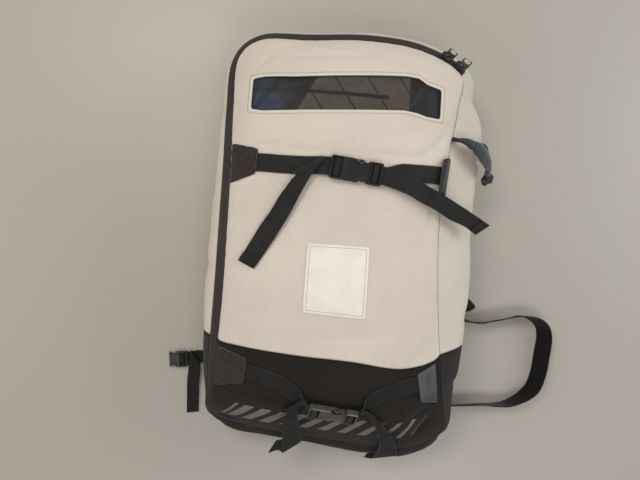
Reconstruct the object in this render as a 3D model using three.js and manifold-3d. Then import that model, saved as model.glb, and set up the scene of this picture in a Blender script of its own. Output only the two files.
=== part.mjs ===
// A stuffed kitesurfing bag with its rolled kite packed inside, lying on its back panel.
// Millimetres. X runs across the bag, Y from its foot to its top, Z up from the floor that it lies on.
import * as THREE from 'three';
import { mergeVertices } from 'three/addons/utils/BufferGeometryUtils.js';
import Module from 'manifold-3d';

const wasm = await Module();
wasm.setup();

// Driving sizes
const CLOTH = 2; // a sewn panel with its lining
const SEAM_GAP = 0.3; // between neighbouring pieces
const BUNDLE_DEPTH = 2.5; // from the outside of the cloth down to the packed kite
const SEAM_LEAN = THREE.MathUtils.degToRad(34); // of the mitre where front and wall are sewn together
const SHOULDER = THREE.MathUtils.degToRad(38); // slope at which the wall leaves the front seam
const CROWN = 48; // height that the stuffed front rises above its seams
const ZIP_WIDTH = 28;
const ZIP_RISE = 0.8; // the coil stands proud of its tape
const BACK_THICK = 4;
const HEM_HEIGHT = 1; // of the wall's lower edge above the floor
const WEBBING = 1.8;
const STRAP_WIDTH = 30;
const LOOP_WIDTH = 38;
const TAB_THICK = 2;
const FLOOR_LIFT = 1.4; // middle of a webbing that lies flat on the floor

// Mesh density
const COLUMNS = 16;
const BASE_ROWS = 6;
const UPPER_ROWS = 16;
const WALL_ROWS = 7;

const table = (columns, rows) =>
  rows.map((row) => Object.fromEntries(columns.map((name, k) => [name, row[k]])));

// The bag's outline, clockwise from the left corner of the foot. At each station: the front seam (x, y, seam height),
// how far the wall bulges outwards, the height of that bulge, and how far the wall tucks back in under it.
const STATIONS = table(['x', 'y', 'seam', 'out', 'belly', 'tuck'], [
  [-229, -319, 124, 10, 64, 20],
  [-213, -255, 170, 34, 80, 38],
  [-202, -102, 195, 49, 96, 50],
  [-201, 34, 199, 48, 98, 50],
  [-202, 138, 199, 43, 98, 48],
  [-205, 232, 197, 36, 98, 48],
  [-205, 321, 184, 29, 96, 46],
  [-165, 357, 190, 35, 98, 46],
  [-81, 360, 194, 44, 98, 46],
  [15, 366, 194, 44, 98, 46],
  [112, 357, 192, 45, 96, 46],
  [189, 322, 182, 46, 94, 46],
  [186, 255, 188, 69, 96, 54],
  [174, 164, 192, 82, 96, 58],
  [166, 55, 194, 84, 96, 60],
  [173, -76, 194, 80, 96, 58],
  [193, -228, 176, 53, 86, 48],
  [213, -329, 120, 28, 62, 36],
  [151, -385, 84, 28, 46, 34],
  [38, -380, 82, 27, 46, 34],
  [-82, -370, 82, 23, 46, 34],
  [-186, -352, 90, 26, 50, 30],
]);
const TOP_LEFT = 6; // numbers of the stations at the four corners, the foot's left one being 0
const TOP_RIGHT = 11;
const FOOT_RIGHT = 17;
const AROUND = STATIONS.length;

// Folds of the stuffed front: place, turn in degrees, half length, half width and depth
const FRONT_FOLDS = table(['x', 'y', 'turn', 'long', 'wide', 'deep'], [
  [-10, 137, -1, 190, 40, 3],
  [-120, -222, -14, 90, 38, 3],
  [120, -226, 16, 80, 38, 3],
  [-5, 258, 3, 150, 40, 4],
  [175, -300, 60, 60, 30, 7],
  [-150, 70, -60, 70, 36, 4],
  [110, 60, 62, 90, 36, 3],
]);

// Hollows of the wall: place along the outline and down the wall, their half widths there, and the depth
const WALL_FOLDS = table(['s', 't', 'ds', 'dt', 'deep'], [
  [11.38, 0.36, 0.24, 0.26, 13],
  [13.1, 0.3, 0.3, 0.16, 9],
  [16.5, 0.3, 0.35, 0.2, 6],
  [0.5, 0.32, 0.4, 0.2, 4],
  [8.5, 0.4, 0.5, 0.2, 3],
]);

const material = (color, roughness, metalness = 0) => new THREE.MeshStandardMaterial({ color, roughness, metalness });
const FINISH = {
  stone: () => material(0xcdc3b7, 0.85),
  base: () => material(0x2a2725, 0.8),
  webbing: () => material(0x262422, 0.75),
  felt: () => material(0x464442, 0.95),
  smoothTab: () => material(0x4b5054, 0.7),
  label: () => material(0xece4da, 0.7),
  mesh: () => material(0x282a30, 0.6),
  zip: () => material(0x3e3630, 0.7),
  plastic: () => material(0x2c2b2a, 0.45),
  greyPlastic: () => material(0x6a6a68, 0.45),
  metal: () => material(0x55564c, 0.4, 0.9),
  kite: () => material(0x1e3c5a, 0.6),
  sleeve: () => material(0x3c423f, 0.7),
};

const vec = (x, y, z) => new THREE.Vector3(x, y, z);
const along = (p, direction, length) => p.clone().addScaledVector(direction, length);

// Curves and surfaces of the stuffed bag

function spline(p0, p1, p2, p3, t) {
  const linear = (p2 - p0) * t;
  const square = (2 * p0 - 5 * p1 + 4 * p2 - p3) * t * t;
  const cube = (3 * p1 - p0 - 3 * p2 + p3) * t * t * t;
  return 0.5 * (2 * p1 + linear + square + cube);
}

function station(s) {
  const place = ((s % AROUND) + AROUND) % AROUND;
  const i = Math.floor(place);
  const near = [-1, 0, 1, 2].map((k) => STATIONS[(i + k + AROUND) % AROUND]);
  const names = Object.keys(STATIONS[0]);
  return Object.fromEntries(names.map((name) => [name, spline(...near.map((row) => row[name]), place - i)]));
}

const seamPoint = (s) => vec(station(s).x, station(s).y, station(s).seam);

function outward(s) {
  const step = 0.02;
  const d = seamPoint(s + step).sub(seamPoint(s - step));
  return vec(-d.y, d.x, 0).normalize();
}

const seamNormal = (s) => outward(s).multiplyScalar(Math.sin(SEAM_LEAN)).add(vec(0, 0, Math.cos(SEAM_LEAN)));

function bezier(points, t) {
  const r = 1 - t;
  const weights = [r * r * r, 3 * r * r * t, 3 * r * t * t, t * t * t];
  return [0, 1].map((axis) => weights.reduce((sum, w, k) => sum + w * points[k][axis], 0));
}

const WALL_CURVE = { lean: 0.42, drop: 0.6, turnIn: 0.35 }; // shares that set how round the wall's section is

// A wall point: t is 0 at the front seam, 0.5 where the wall bulges most and 1 where it meets the back panel.
function plainWall(s, t) {
  const { x, y, seam, out, belly, tuck } = station(s);
  const hem = HEM_HEIGHT;
  const lean = WALL_CURVE.lean * out;
  const upper = [[0, seam], [lean, seam - lean * Math.tan(SHOULDER)], [out, (belly + seam) / 2], [out, belly]];
  const drop = WALL_CURVE.drop * (belly - hem);
  const lower = [[out, belly], [out, belly - drop], [out - WALL_CURVE.turnIn * tuck, hem], [out - tuck, hem]];
  const [reach, height] = t <= 0.5 ? bezier(upper, 2 * t) : bezier(lower, 2 * t - 1);
  const side = outward(s);
  return vec(x + side.x * reach, y + side.y * reach, height);
}

const bell = (offset, width) => Math.exp(-((offset / width) ** 2));
const fadeIn = (value, length) => THREE.MathUtils.smoothstep(value, 0, length);

function slopeNormal(f, a, b) {
  const step = 0.01;
  const da = f(a + step, b).sub(f(a - step, b));
  const db = f(a, Math.min(b + step, 1)).sub(f(a, Math.max(b - step, 0)));
  return da.cross(db).normalize();
}

function wallNormal(s, t) {
  const normal = slopeNormal(plainWall, s, t);
  const mitre = 1 - fadeIn(t, 0.02);
  return normal.lerp(seamNormal(s), mitre).normalize();
}

function wallPoint(s, t) {
  const p = plainWall(s, t);
  const edge = fadeIn(t, 0.12) * fadeIn(1 - t, 0.12);
  const deep = WALL_FOLDS.reduce((sum, f) => sum + f.deep * bell(s - f.s, f.ds) * bell(t - f.t, f.dt), 0);
  return along(p, wallNormal(s, t), -deep * edge);
}

const leftEdge = (v) => seamPoint(TOP_LEFT * v);
const topEdge = (u) => seamPoint(TOP_LEFT + (TOP_RIGHT - TOP_LEFT) * u);
const rightEdge = (v) => seamPoint(FOOT_RIGHT - (FOOT_RIGHT - TOP_RIGHT) * v);
const footEdge = (u) => seamPoint(FOOT_RIGHT + (AROUND - FOOT_RIGHT) * (1 - u));

// The front without its crown is the patch that its four seams span.
function spanned(u, v) {
  const p = footEdge(u).multiplyScalar(1 - v).addScaledVector(topEdge(u), v);
  p.addScaledVector(leftEdge(v), 1 - u).addScaledVector(rightEdge(v), u);
  p.addScaledVector(leftEdge(0), -(1 - u) * (1 - v)).addScaledVector(rightEdge(0), -u * (1 - v));
  return p.addScaledVector(leftEdge(1), -(1 - u) * v).addScaledVector(rightEdge(1), -u * v);
}

const CROWN_SHAPE = { across: 0.85, along: 0.8, top: 4, foot: 3.6 }; // powers: how square the crown is

function frontPoint(u, v) {
  const p = spanned(u, v);
  const across = Math.max(0, 4 * u * (1 - u));
  const w = 2 * v - 1;
  const lengthwise = Math.max(0, 1 - Math.abs(w) ** (w > 0 ? CROWN_SHAPE.top : CROWN_SHAPE.foot));
  p.z += CROWN * across ** CROWN_SHAPE.across * lengthwise ** CROWN_SHAPE.along;
  const edge = fadeIn(Math.min(u, 1 - u, v, 1 - v), 0.1);
  for (const f of FRONT_FOLDS) {
    const turn = THREE.MathUtils.degToRad(f.turn);
    const a = (p.x - f.x) * Math.cos(turn) + (p.y - f.y) * Math.sin(turn);
    const b = (p.y - f.y) * Math.cos(turn) - (p.x - f.x) * Math.sin(turn);
    p.z -= f.deep * edge * bell(a, f.long) * bell(b, f.wide);
  }
  return p;
}

function frontNormal(u, v) {
  const step = 0.004;
  const du = frontPoint(Math.min(u + step, 1), v).sub(frontPoint(Math.max(u - step, 0), v));
  const dv = frontPoint(u, Math.min(v + step, 1)).sub(frontPoint(u, Math.max(v - step, 0)));
  return du.cross(dv).normalize();
}

const baseSeam = (u) => 0.262 - 0.032 * u ** 2.5; // where the black base of the front ends

// Closed bodies from grids of points

function body(triangles) {
  const soup = new THREE.BufferGeometry();
  const flat = triangles.flat().flatMap((p) => [p.x, p.y, p.z]);
  soup.setAttribute('position', new THREE.Float32BufferAttribute(flat, 3));
  const merged = mergeVertices(soup, 1e-4);
  const index = [...merged.index.array];
  const faces = [];
  for (let i = 0; i < index.length; i += 3) {
    const [a, b, c] = index.slice(i, i + 3);
    if (a !== b && b !== c && c !== a) faces.push([a, b, c]);
  }
  const point = (i) => new THREE.Vector3().fromBufferAttribute(merged.attributes.position, i);
  const volume = faces.reduce((sum, [a, b, c]) => sum + point(a).dot(point(b).cross(point(c))), 0);
  merged.setIndex(faces.flatMap(([a, b, c]) => (volume > 0 ? [a, b, c] : [a, c, b])));
  return merged;
}

const quad = (a, b, c, d) => [[a, b, c], [a, c, d]];

function skin(grid) {
  const faces = [];
  for (let i = 0; i + 1 < grid.length; i++) {
    for (let j = 0; j + 1 < grid[i].length; j++) {
      faces.push(...quad(grid[i][j], grid[i + 1][j], grid[i + 1][j + 1], grid[i][j + 1]));
    }
  }
  return faces;
}

function rim(upper, lower) {
  return upper.slice(1).flatMap((p, k) => quad(upper[k], lower[k], lower[k + 1], p));
}

function boundary(grid) {
  const last = grid.length - 1;
  const end = grid[0].length - 1;
  const down = grid.map((row) => row[end]);
  const back = grid.map((row) => row[0]).reverse();
  return [...grid[0], ...down.slice(1), ...grid[last].slice(0, -1).reverse(), ...back.slice(1)];
}

const turned = (faces) => faces.map(([a, b, c]) => [a, c, b]);

// A sheet between two grids of the same size
function slab(upper, lower) {
  return body([...skin(upper), ...turned(skin(lower)), ...rim(boundary(lower), boundary(upper))]);
}

const range = (count) => Array.from({ length: count + 1 }, (_, k) => k);

// Where the seams of front and wall are sampled: s runs along the outline

const seamRows = (u) => [
  ...range(BASE_ROWS).map((j) => (baseSeam(u) * j) / BASE_ROWS),
  ...range(UPPER_ROWS).slice(1).map((k) => baseSeam(u) + ((1 - baseSeam(u)) * k) / UPPER_ROWS),
];
const sLeft = seamRows(0).map((v) => TOP_LEFT * v);
const sTop = range(COLUMNS).map((i) => TOP_LEFT + ((TOP_RIGHT - TOP_LEFT) * i) / COLUMNS);
const sRight = seamRows(1).map((v) => FOOT_RIGHT - (FOOT_RIGHT - TOP_RIGHT) * v).reverse();
const sFoot = range(COLUMNS).map((i) => FOOT_RIGHT + ((AROUND - FOOT_RIGHT) * i) / COLUMNS);
const ZIP_END_STEP = 0.006; // the wall's edge steps in here, at the zip's end
const RING = [
  ...sLeft, ...sTop.slice(1), TOP_RIGHT + ZIP_END_STEP, ...sRight.slice(1), ...sFoot.slice(1, -1),
];
const BLACK_LEFT = BASE_ROWS; // the ring's samples where the wall's black part begins
const BLACK_RIGHT = RING.length - (COLUMNS - 1) - 1 - BASE_ROWS;
const ZIP_FIRST = 3;
const ZIP_LAST = sLeft.length + COLUMNS - 1;

const ZIP_TAPER = { start: 0.6, samples: 3.2 }; // the band narrows to its lower end over these samples

// How far down the wall a length of cloth reaches
function wallReach(s, length) {
  const step = 0.002;
  let t = 0;
  let left = length;
  for (let p = plainWall(s, 0); t < 1; t += step) {
    const next = plainWall(s, t + step);
    const stretch = next.distanceTo(p);
    if (stretch >= left) return t + (step * left) / stretch;
    left -= stretch;
    p = next;
  }
  return t;
}

function zipWidthAt(k) {
  if (k < ZIP_FIRST || k > ZIP_LAST) return 0;
  return ZIP_WIDTH * fadeIn(k - ZIP_FIRST + ZIP_TAPER.start, ZIP_TAPER.samples);
}

const HEM_RUN = 3.9; // length that the wall covers per unit of t at its hem, in tucks

const zipReach = RING.map((s, k) => (zipWidthAt(k) > 0 ? wallReach(s, zipWidthAt(k)) : 0));

function wallRows(k, s) {
  const top = zipWidthAt(k) > 0 ? wallReach(s, zipWidthAt(k) + SEAM_GAP) : wallReach(s, SEAM_GAP / 2);
  const bottom = 1 - SEAM_GAP / (HEM_RUN * station(s).tuck);
  return range(WALL_ROWS).map((j) => top + ((bottom - top) * j) / WALL_ROWS);
}

function wallGrid(samples, depth) {
  return samples.map(({ k, s }) =>
    wallRows(k, s).map((t) => along(wallPoint(s, t), wallNormal(s, t), -depth)));
}

const S_GAP = 0.0022; // half a seam gap along the outline, in stations

function wallSamples(first, last) {
  const count = (last - first + RING.length) % RING.length;
  return range(count).map((n) => {
    const k = (first + n) % RING.length;
    const pull = n === 0 ? S_GAP : n === count ? -S_GAP : 0;
    return { k, s: RING[k] + pull };
  });
}

function wall(first, last) {
  const samples = wallSamples(first, last);
  return slab(wallGrid(samples, 0), wallGrid(samples, CLOTH));
}

function zipBand() {
  const samples = range(ZIP_LAST - ZIP_FIRST).map((n) => {
    const k = ZIP_FIRST + n;
    const pull = k === ZIP_FIRST ? S_GAP : k === ZIP_LAST ? -S_GAP : 0;
    return { k, s: RING[k] + pull };
  });
  const grid = (lift) => samples.map(({ k, s }) => [0, 0.5, 1].map((share) => {
    const inset = SEAM_GAP / 2;
    const t = wallReach(s, inset + (zipWidthAt(k) - inset) * share);
    const rise = share === 0.5 ? lift.middle : lift.side;
    return along(wallPoint(s, t), wallNormal(s, t), rise);
  }));
  return slab(grid({ middle: ZIP_RISE, side: 0 }), grid({ middle: -CLOTH, side: -CLOTH }));
}

// The front's two panels

const U_GAP = 0.0005; // half a seam gap across and along the front, as shares of it
const V_GAP = 0.00028;

function edgeStation(i, j) {
  if (j === 0) return FOOT_RIGHT + (AROUND - FOOT_RIGHT) * (1 - i / COLUMNS);
  if (j === BASE_ROWS + UPPER_ROWS) return TOP_LEFT + ((TOP_RIGHT - TOP_LEFT) * i) / COLUMNS;
  if (i === 0) return sLeft[j];
  return sRight[sRight.length - 1 - j];
}

function frontNode(i, j, pull = 0) {
  const rows = BASE_ROWS + UPPER_ROWS;
  const onSeam = i === 0 || i === COLUMNS || j === 0 || j === rows;
  const u = i / COLUMNS;
  const v = seamRows(u)[j];
  const normal = onSeam ? seamNormal(edgeStation(i, j)) : frontNormal(u, v);
  const pullU = i === 0 ? U_GAP : i === COLUMNS ? -U_GAP : 0;
  const pullV = j === 0 ? V_GAP : j === rows ? -V_GAP : pull;
  return { p: frontPoint(u + pullU, v + pullV), normal };
}

function frontPanel(firstRow, lastRow) {
  const grid = (depth) => range(lastRow - firstRow).map((n) => range(COLUMNS).map((i) => {
    const j = firstRow + n;
    const pull = n === 0 ? V_GAP : j === lastRow ? -V_GAP : 0;
    const { p, normal } = frontNode(i, j, pull);
    return along(p, normal, -depth);
  }));
  return slab(grid(0), grid(CLOTH));
}

const frontTriangles = skin(range(BASE_ROWS + UPPER_ROWS).map((j) =>
  range(COLUMNS).map((i) => frontNode(i, j).p)));

// Height of the front's outside above a place on the floor
function frontHeight(x, y) {
  for (const [a, b, c] of frontTriangles) {
    const area = (b.x - a.x) * (c.y - a.y) - (c.x - a.x) * (b.y - a.y);
    const wb = ((x - a.x) * (c.y - a.y) - (c.x - a.x) * (y - a.y)) / area;
    const wc = ((b.x - a.x) * (y - a.y) - (x - a.x) * (b.y - a.y)) / area;
    if (wb >= -1e-6 && wc >= -1e-6 && wb + wc <= 1 + 1e-6) return a.z + wb * (b.z - a.z) + wc * (c.z - a.z);
  }
  throw new Error(`no front over ${x}, ${y}`);
}

// The window: its outline seen from above, and the mesh behind it

const WINDOW = table(['x', 'bottom', 'top'], [
  [-172, 228, 277],
  [-168, 224, 281],
  [-98, 226, 284],
  [-5, 233, 293],
  [88, 241, 301],
  [110, 239, 300],
  [126, 235, 291],
  [149, 233, 287],
  [153, 237, 284],
]);
const MESH_DEPTH = 2.4; // from the outside of the front down to the mesh
const MESH_THICK = 1;
const MESH_CELLS = { firstColumn: 1, lastColumn: 15, firstRow: 16, lastRow: 20 };

function windowCutter() {
  const outline = [
    ...WINDOW.map((w) => new THREE.Vector2(w.x, w.bottom)),
    ...[...WINDOW].reverse().map((w) => new THREE.Vector2(w.x, w.top)),
  ];
  const cutter = new THREE.ExtrudeGeometry(new THREE.Shape(outline), { depth: 200, bevelEnabled: false });
  return cutter.translate(0, 0, 120);
}

function windowMesh() {
  const { firstColumn, lastColumn, firstRow, lastRow } = MESH_CELLS;
  const grid = (depth) => range(lastRow - firstRow).map((n) => range(lastColumn - firstColumn).map((m) => {
    const { p, normal } = frontNode(firstColumn + m, firstRow + n);
    return along(p, normal, -depth);
  }));
  return slab(grid(MESH_DEPTH), grid(MESH_DEPTH + MESH_THICK));
}

// The rolled kite fills the bag. Under the window it lies a little deeper, in soft rolls.

const ROLLS = { depth: 5.2, rise: 1.2, across: 1.3, along: 2.1 };

function bundleDepth(i, j) {
  const { firstColumn, lastColumn, firstRow, lastRow } = MESH_CELLS;
  const under = i >= firstColumn && i <= lastColumn && j >= firstRow && j <= lastRow;
  return under ? ROLLS.depth + ROLLS.rise * Math.sin(i * ROLLS.across + j * ROLLS.along) : BUNDLE_DEPTH;
}

function kiteBundle() {
  const top = range(BASE_ROWS + UPPER_ROWS).map((j) => range(COLUMNS).map((i) => {
    const { p, normal } = frontNodeOnSeam(i, j);
    return along(p, normal, -bundleDepth(i, j));
  }));
  const floor = BACK_THICK + SEAM_GAP;
  const rows = (k) => range(WALL_ROWS).map((j) => zipReach[k] + ((1 - zipReach[k]) * j) / WALL_ROWS);
  const ring = RING.map((s, k) => [0, ...rows(k)].map((t) => {
    const p = along(wallPoint(s, t), wallNormal(s, t), -BUNDLE_DEPTH);
    p.z = Math.max(p.z, floor);
    return p;
  }));
  const sides = [...ring, ring[0]];
  const middle = vec(0, 0, floor);
  const last = WALL_ROWS + 1;
  const under = sides.slice(1).map((row, k) => [sides[k][last], row[last], middle]);
  const corner = [ring[ZIP_LAST][0], ring[ZIP_LAST + 2][0], ring[ZIP_LAST + 1][0]];
  return body([...turned(skin(top)), ...skin(sides), ...under, corner]);
}

function frontNodeOnSeam(i, j) {
  const rows = BASE_ROWS + UPPER_ROWS;
  const onSeam = i === 0 || i === COLUMNS || j === 0 || j === rows;
  if (!onSeam) return frontNode(i, j);
  const s = edgeStation(i, j);
  return { p: wallPoint(s, 0), normal: wallNormal(s, 0) };
}

function backPanel() {
  const outline = RING.map((s) => along(wallPoint(s, 1), outward(s), -SEAM_GAP));
  const shape = new THREE.Shape(outline.map((p) => new THREE.Vector2(p.x, p.y)));
  return new THREE.ExtrudeGeometry(shape, { depth: BACK_THICK, bevelEnabled: false });
}

// Joining and cutting

function solid(geometry) {
  const bare = geometry.index ? geometry.toNonIndexed() : geometry.clone();
  bare.deleteAttribute('normal');
  bare.deleteAttribute('uv');
  const merged = mergeVertices(bare, 1e-4);
  return new wasm.Manifold(new wasm.Mesh({
    numProp: 3,
    vertProperties: new Float32Array(merged.attributes.position.array),
    triVerts: new Uint32Array(merged.index.array),
  }));
}

function fromSolid(manifold) {
  const mesh = manifold.getMesh();
  const geometry = new THREE.BufferGeometry();
  geometry.setAttribute('position', new THREE.BufferAttribute(new Float32Array(mesh.vertProperties), 3));
  geometry.setIndex(new THREE.BufferAttribute(new Uint32Array(mesh.triVerts), 1));
  return geometry;
}

const combined = (method, first, rest) =>
  fromSolid(rest.reduce((sum, piece) => sum[method](solid(piece)), solid(first)));
const cut = (first, ...rest) => combined('subtract', first, rest);
const join = (first, ...rest) => combined('add', first, rest);

// Pieces that lie on the front

const PATCH_CELLS = [4, 5];
const TAB_LIFT = 0.95; // of a tab's underside above the front

function patch(corners, thickness = TAB_THICK, lift = TAB_LIFT, cells = PATCH_CELLS) {
  const [a, b, c, d] = corners;
  const grid = (height) => range(cells[1]).map((n) => range(cells[0]).map((m) => {
    const u = m / cells[0];
    const v = n / cells[1];
    const x = (a.x * (1 - u) + b.x * u) * (1 - v) + (d.x * (1 - u) + c.x * u) * v;
    const y = (a.y * (1 - u) + b.y * u) * (1 - v) + (d.y * (1 - u) + c.y * u) * v;
    return vec(x, y, frontHeight(x, y) + height);
  }));
  return slab(grid(lift + thickness), grid(lift));
}

const fourCorners = (rows) => table(['x', 'y'], rows);
const LABEL = fourCorners([[-59, 8], [45, 8], [47, -115], [-60, -110]]);
const LABEL_THICK = 1;
const LABEL_LIFT = 0.6;
const TAB_UPPER_LEFT = fourCorners([[-198, 167], [-153, 160], [-156, 118], [-197, 100]]);
const TAB_LOWER_LEFT = fourCorners([[-199, -184], [-153, -202], [-157, -249], [-207, -256]]);
const TAB_LOWER_RIGHT = fourCorners([[178, -188], [148, -210], [160, -262], [191, -263]]);

// Webbing: rows of its two edges, a and b

function ribbon(rows, thickness = WEBBING) {
  const frames = rows.map(({ a, b }, k) => {
    const before = rows[Math.max(k - 1, 0)];
    const after = rows[Math.min(k + 1, rows.length - 1)];
    const forward = after.a.clone().add(after.b).sub(before.a).sub(before.b);
    return { a, b, normal: forward.cross(b.clone().sub(a)).normalize() };
  });
  const side = (sign) => frames.map(({ a, b, normal }) =>
    [along(a, normal, (sign * thickness) / 2), along(b, normal, (sign * thickness) / 2)]);
  return slab(side(1), side(-1));
}

function smoothRows(rows, steps) {
  const at = (k) => rows[Math.min(Math.max(k, 0), rows.length - 1)];
  const blend = (k, t, edge) => vec(...['x', 'y', 'z'].map((axis) =>
    spline(...[-1, 0, 1, 2].map((n) => at(k + n)[edge][axis]), t)));
  const fine = rows.slice(0, -1).flatMap((_, k) =>
    range(steps - 1).map((n) => ({ a: blend(k, n / steps, 'a'), b: blend(k, n / steps, 'b') })));
  return [...fine, rows.at(-1)];
}

const onFront = (rows) => table(['ax', 'ay', 'bx', 'by', 'lift'], rows).map((r) => ({
  a: vec(r.ax, r.ay, frontHeight(r.ax, r.ay) + r.lift),
  b: vec(r.bx, r.by, frontHeight(r.bx, r.by) + r.lift),
}));

const inAir = (rows) => table(['ax', 'ay', 'az', 'bx', 'by', 'bz'], rows).map((r) => ({
  a: vec(r.ax, r.ay, r.az),
  b: vec(r.bx, r.by, r.bz),
}));

// Side release buckles. In a buckle's own frame X runs from its socket to its plug and Z up from the front.

const BUCKLE = { half: 19, end: 43.5, thick: 11, rail: 2.8, mouth: 21, socketCorner: 3, plugCorner: 2, gap: 0.4 };
const LADDER = { inner: 24, outer: 40.5, bar: 32.5, barWide: 3.8, barThick: 3.2, lip: 1.2 };
const POCKET = { deep: 33, end: -20, half: 15.5, high: 3.3 }; // inside the socket
const NOTCH = { radius: 9, reach: 5, sides: 20 }; // where the thumbs press the arms
const TONGUE = { start: -8, half: 4, high: 2.6 };
const ARM_THICK = 5.6;
const ARM = table(['x', 'y'], [
  [0, 9], [21.8, 9], [21.8, 14.6], [17.5, 14.8], [15, 16], [12, 16.8], [9, 16], [6.5, 14.8], [0, 13],
]);
const BUCKLE_LIFT = 1; // the buckle's underside above the front

function buckleFrame(x, y, turnDegrees) {
  const step = 12;
  const dx = (frontHeight(x + step, y) - frontHeight(x - step, y)) / (2 * step);
  const dy = (frontHeight(x, y + step) - frontHeight(x, y - step)) / (2 * step);
  const up = vec(-dx, -dy, 1).normalize();
  const turn = THREE.MathUtils.degToRad(turnDegrees);
  const forward = vec(Math.cos(turn), Math.sin(turn), 0);
  forward.addScaledVector(up, -forward.dot(up)).normalize();
  const across = up.clone().cross(forward);
  const origin = along(vec(x, y, frontHeight(x, y)), up, BUCKLE.thick / 2 + BUCKLE_LIFT);
  return new THREE.Matrix4().makeBasis(forward, across, up).setPosition(origin);
}

function box(x0, x1, halfWidth, z0, z1) {
  const geometry = new THREE.BoxGeometry(x1 - x0, 2 * halfWidth, z1 - z0);
  return geometry.translate((x0 + x1) / 2, 0, (z0 + z1) / 2);
}

// A flat block with round corners, from x0 to x1
function block(x0, x1, half, thick, corner) {
  const shape = new THREE.Shape();
  shape.moveTo(x0 + corner, -half).lineTo(x1 - corner, -half);
  shape.absarc(x1 - corner, -half + corner, corner, -Math.PI / 2, 0);
  shape.absarc(x1 - corner, half - corner, corner, 0, Math.PI / 2);
  shape.absarc(x0 + corner, half - corner, corner, Math.PI / 2, Math.PI);
  shape.absarc(x0 + corner, -half + corner, corner, Math.PI, Math.PI * 1.5);
  const bevel = Math.min(1, thick / 4);
  const inset = new THREE.ExtrudeGeometry(shape, {
    depth: thick - 2 * bevel, bevelThickness: bevel, bevelSize: bevel, bevelOffset: -bevel, bevelSegments: 1,
    curveSegments: 2,
  });
  return inset.translate(0, 0, -thick / 2 + bevel);
}

// The end of a buckle half that the webbing is threaded through, on its -X side
function ladderCuts() {
  const inside = BUCKLE.half - BUCKLE.rail;
  return [
    box(-LADDER.outer, -LADDER.inner, inside, -BUCKLE.thick, BUCKLE.thick),
    box(-BUCKLE.end - 1, -LADDER.outer + 1, inside, -BUCKLE.thick, LADDER.lip),
  ];
}

function ladderBar() {
  const { bar, barWide, barThick } = LADDER;
  return box(-bar - barWide / 2, -bar + barWide / 2, BUCKLE.half - 1, -barThick / 2, barThick / 2);
}

function buckleSocket(mouth) {
  const { radius, reach, sides } = NOTCH;
  const notch = new THREE.CylinderGeometry(radius, radius, 2 * BUCKLE.thick, sides).rotateX(Math.PI / 2);
  const notchAt = (side) => notch.clone().translate(mouth - radius, side * (BUCKLE.half + radius - reach), 0);
  const pocket = box(Math.max(mouth - POCKET.deep, POCKET.end), mouth + 1, POCKET.half, -POCKET.high, POCKET.high);
  const bodyBlock = block(-BUCKLE.end, mouth, BUCKLE.half, BUCKLE.thick, BUCKLE.socketCorner);
  return join(cut(bodyBlock, ...ladderCuts(), pocket, notchAt(1), notchAt(-1)), ladderBar());
}

function buckleArm(side) {
  const shape = new THREE.Shape(ARM.map(({ x, y }) => new THREE.Vector2(x, side * y)));
  return new THREE.ExtrudeGeometry(shape, { depth: ARM_THICK, bevelEnabled: false }).translate(0, 0, -ARM_THICK / 2);
}

function bucklePlug() {
  const shoulder = BUCKLE.mouth + BUCKLE.gap;
  const frame = block(-BUCKLE.end, -shoulder, BUCKLE.half, BUCKLE.thick, BUCKLE.plugCorner);
  const ladder = join(cut(frame, ...ladderCuts()), ladderBar()).rotateZ(Math.PI);
  const tongue = box(TONGUE.start, shoulder + 1, TONGUE.half, -TONGUE.high, TONGUE.high);
  return join(ladder, tongue, buckleArm(1), buckleArm(-1));
}

// The webbing's way through a ladder: under both bars, up, over the inner bar and out again under the end bar
const LADDER_PATH = table(['x', 'z'], [
  [49, -3.6], [42, -3.9], [34, -3.9], [29, -3.3], [27, 0], [29.2, 3.1], [33, 3.4], [36.6, 1.6], [39.4, -0.9], [45, -1.1],
]);

function ladderRows(frame, side) {
  const half = STRAP_WIDTH / 2;
  return LADDER_PATH.map(({ x, z }) => ({
    a: vec(side * x, half, z).applyMatrix4(frame),
    b: vec(side * x, -half, z).applyMatrix4(frame),
  }));
}

const UPPER_BUCKLE = buckleFrame(12, 133, -6);
const LOWER_BUCKLE = buckleFrame(4, -286, -8);

// Compression straps, each from its tab to the buckle, through the ladder and on as the loose tail

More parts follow.
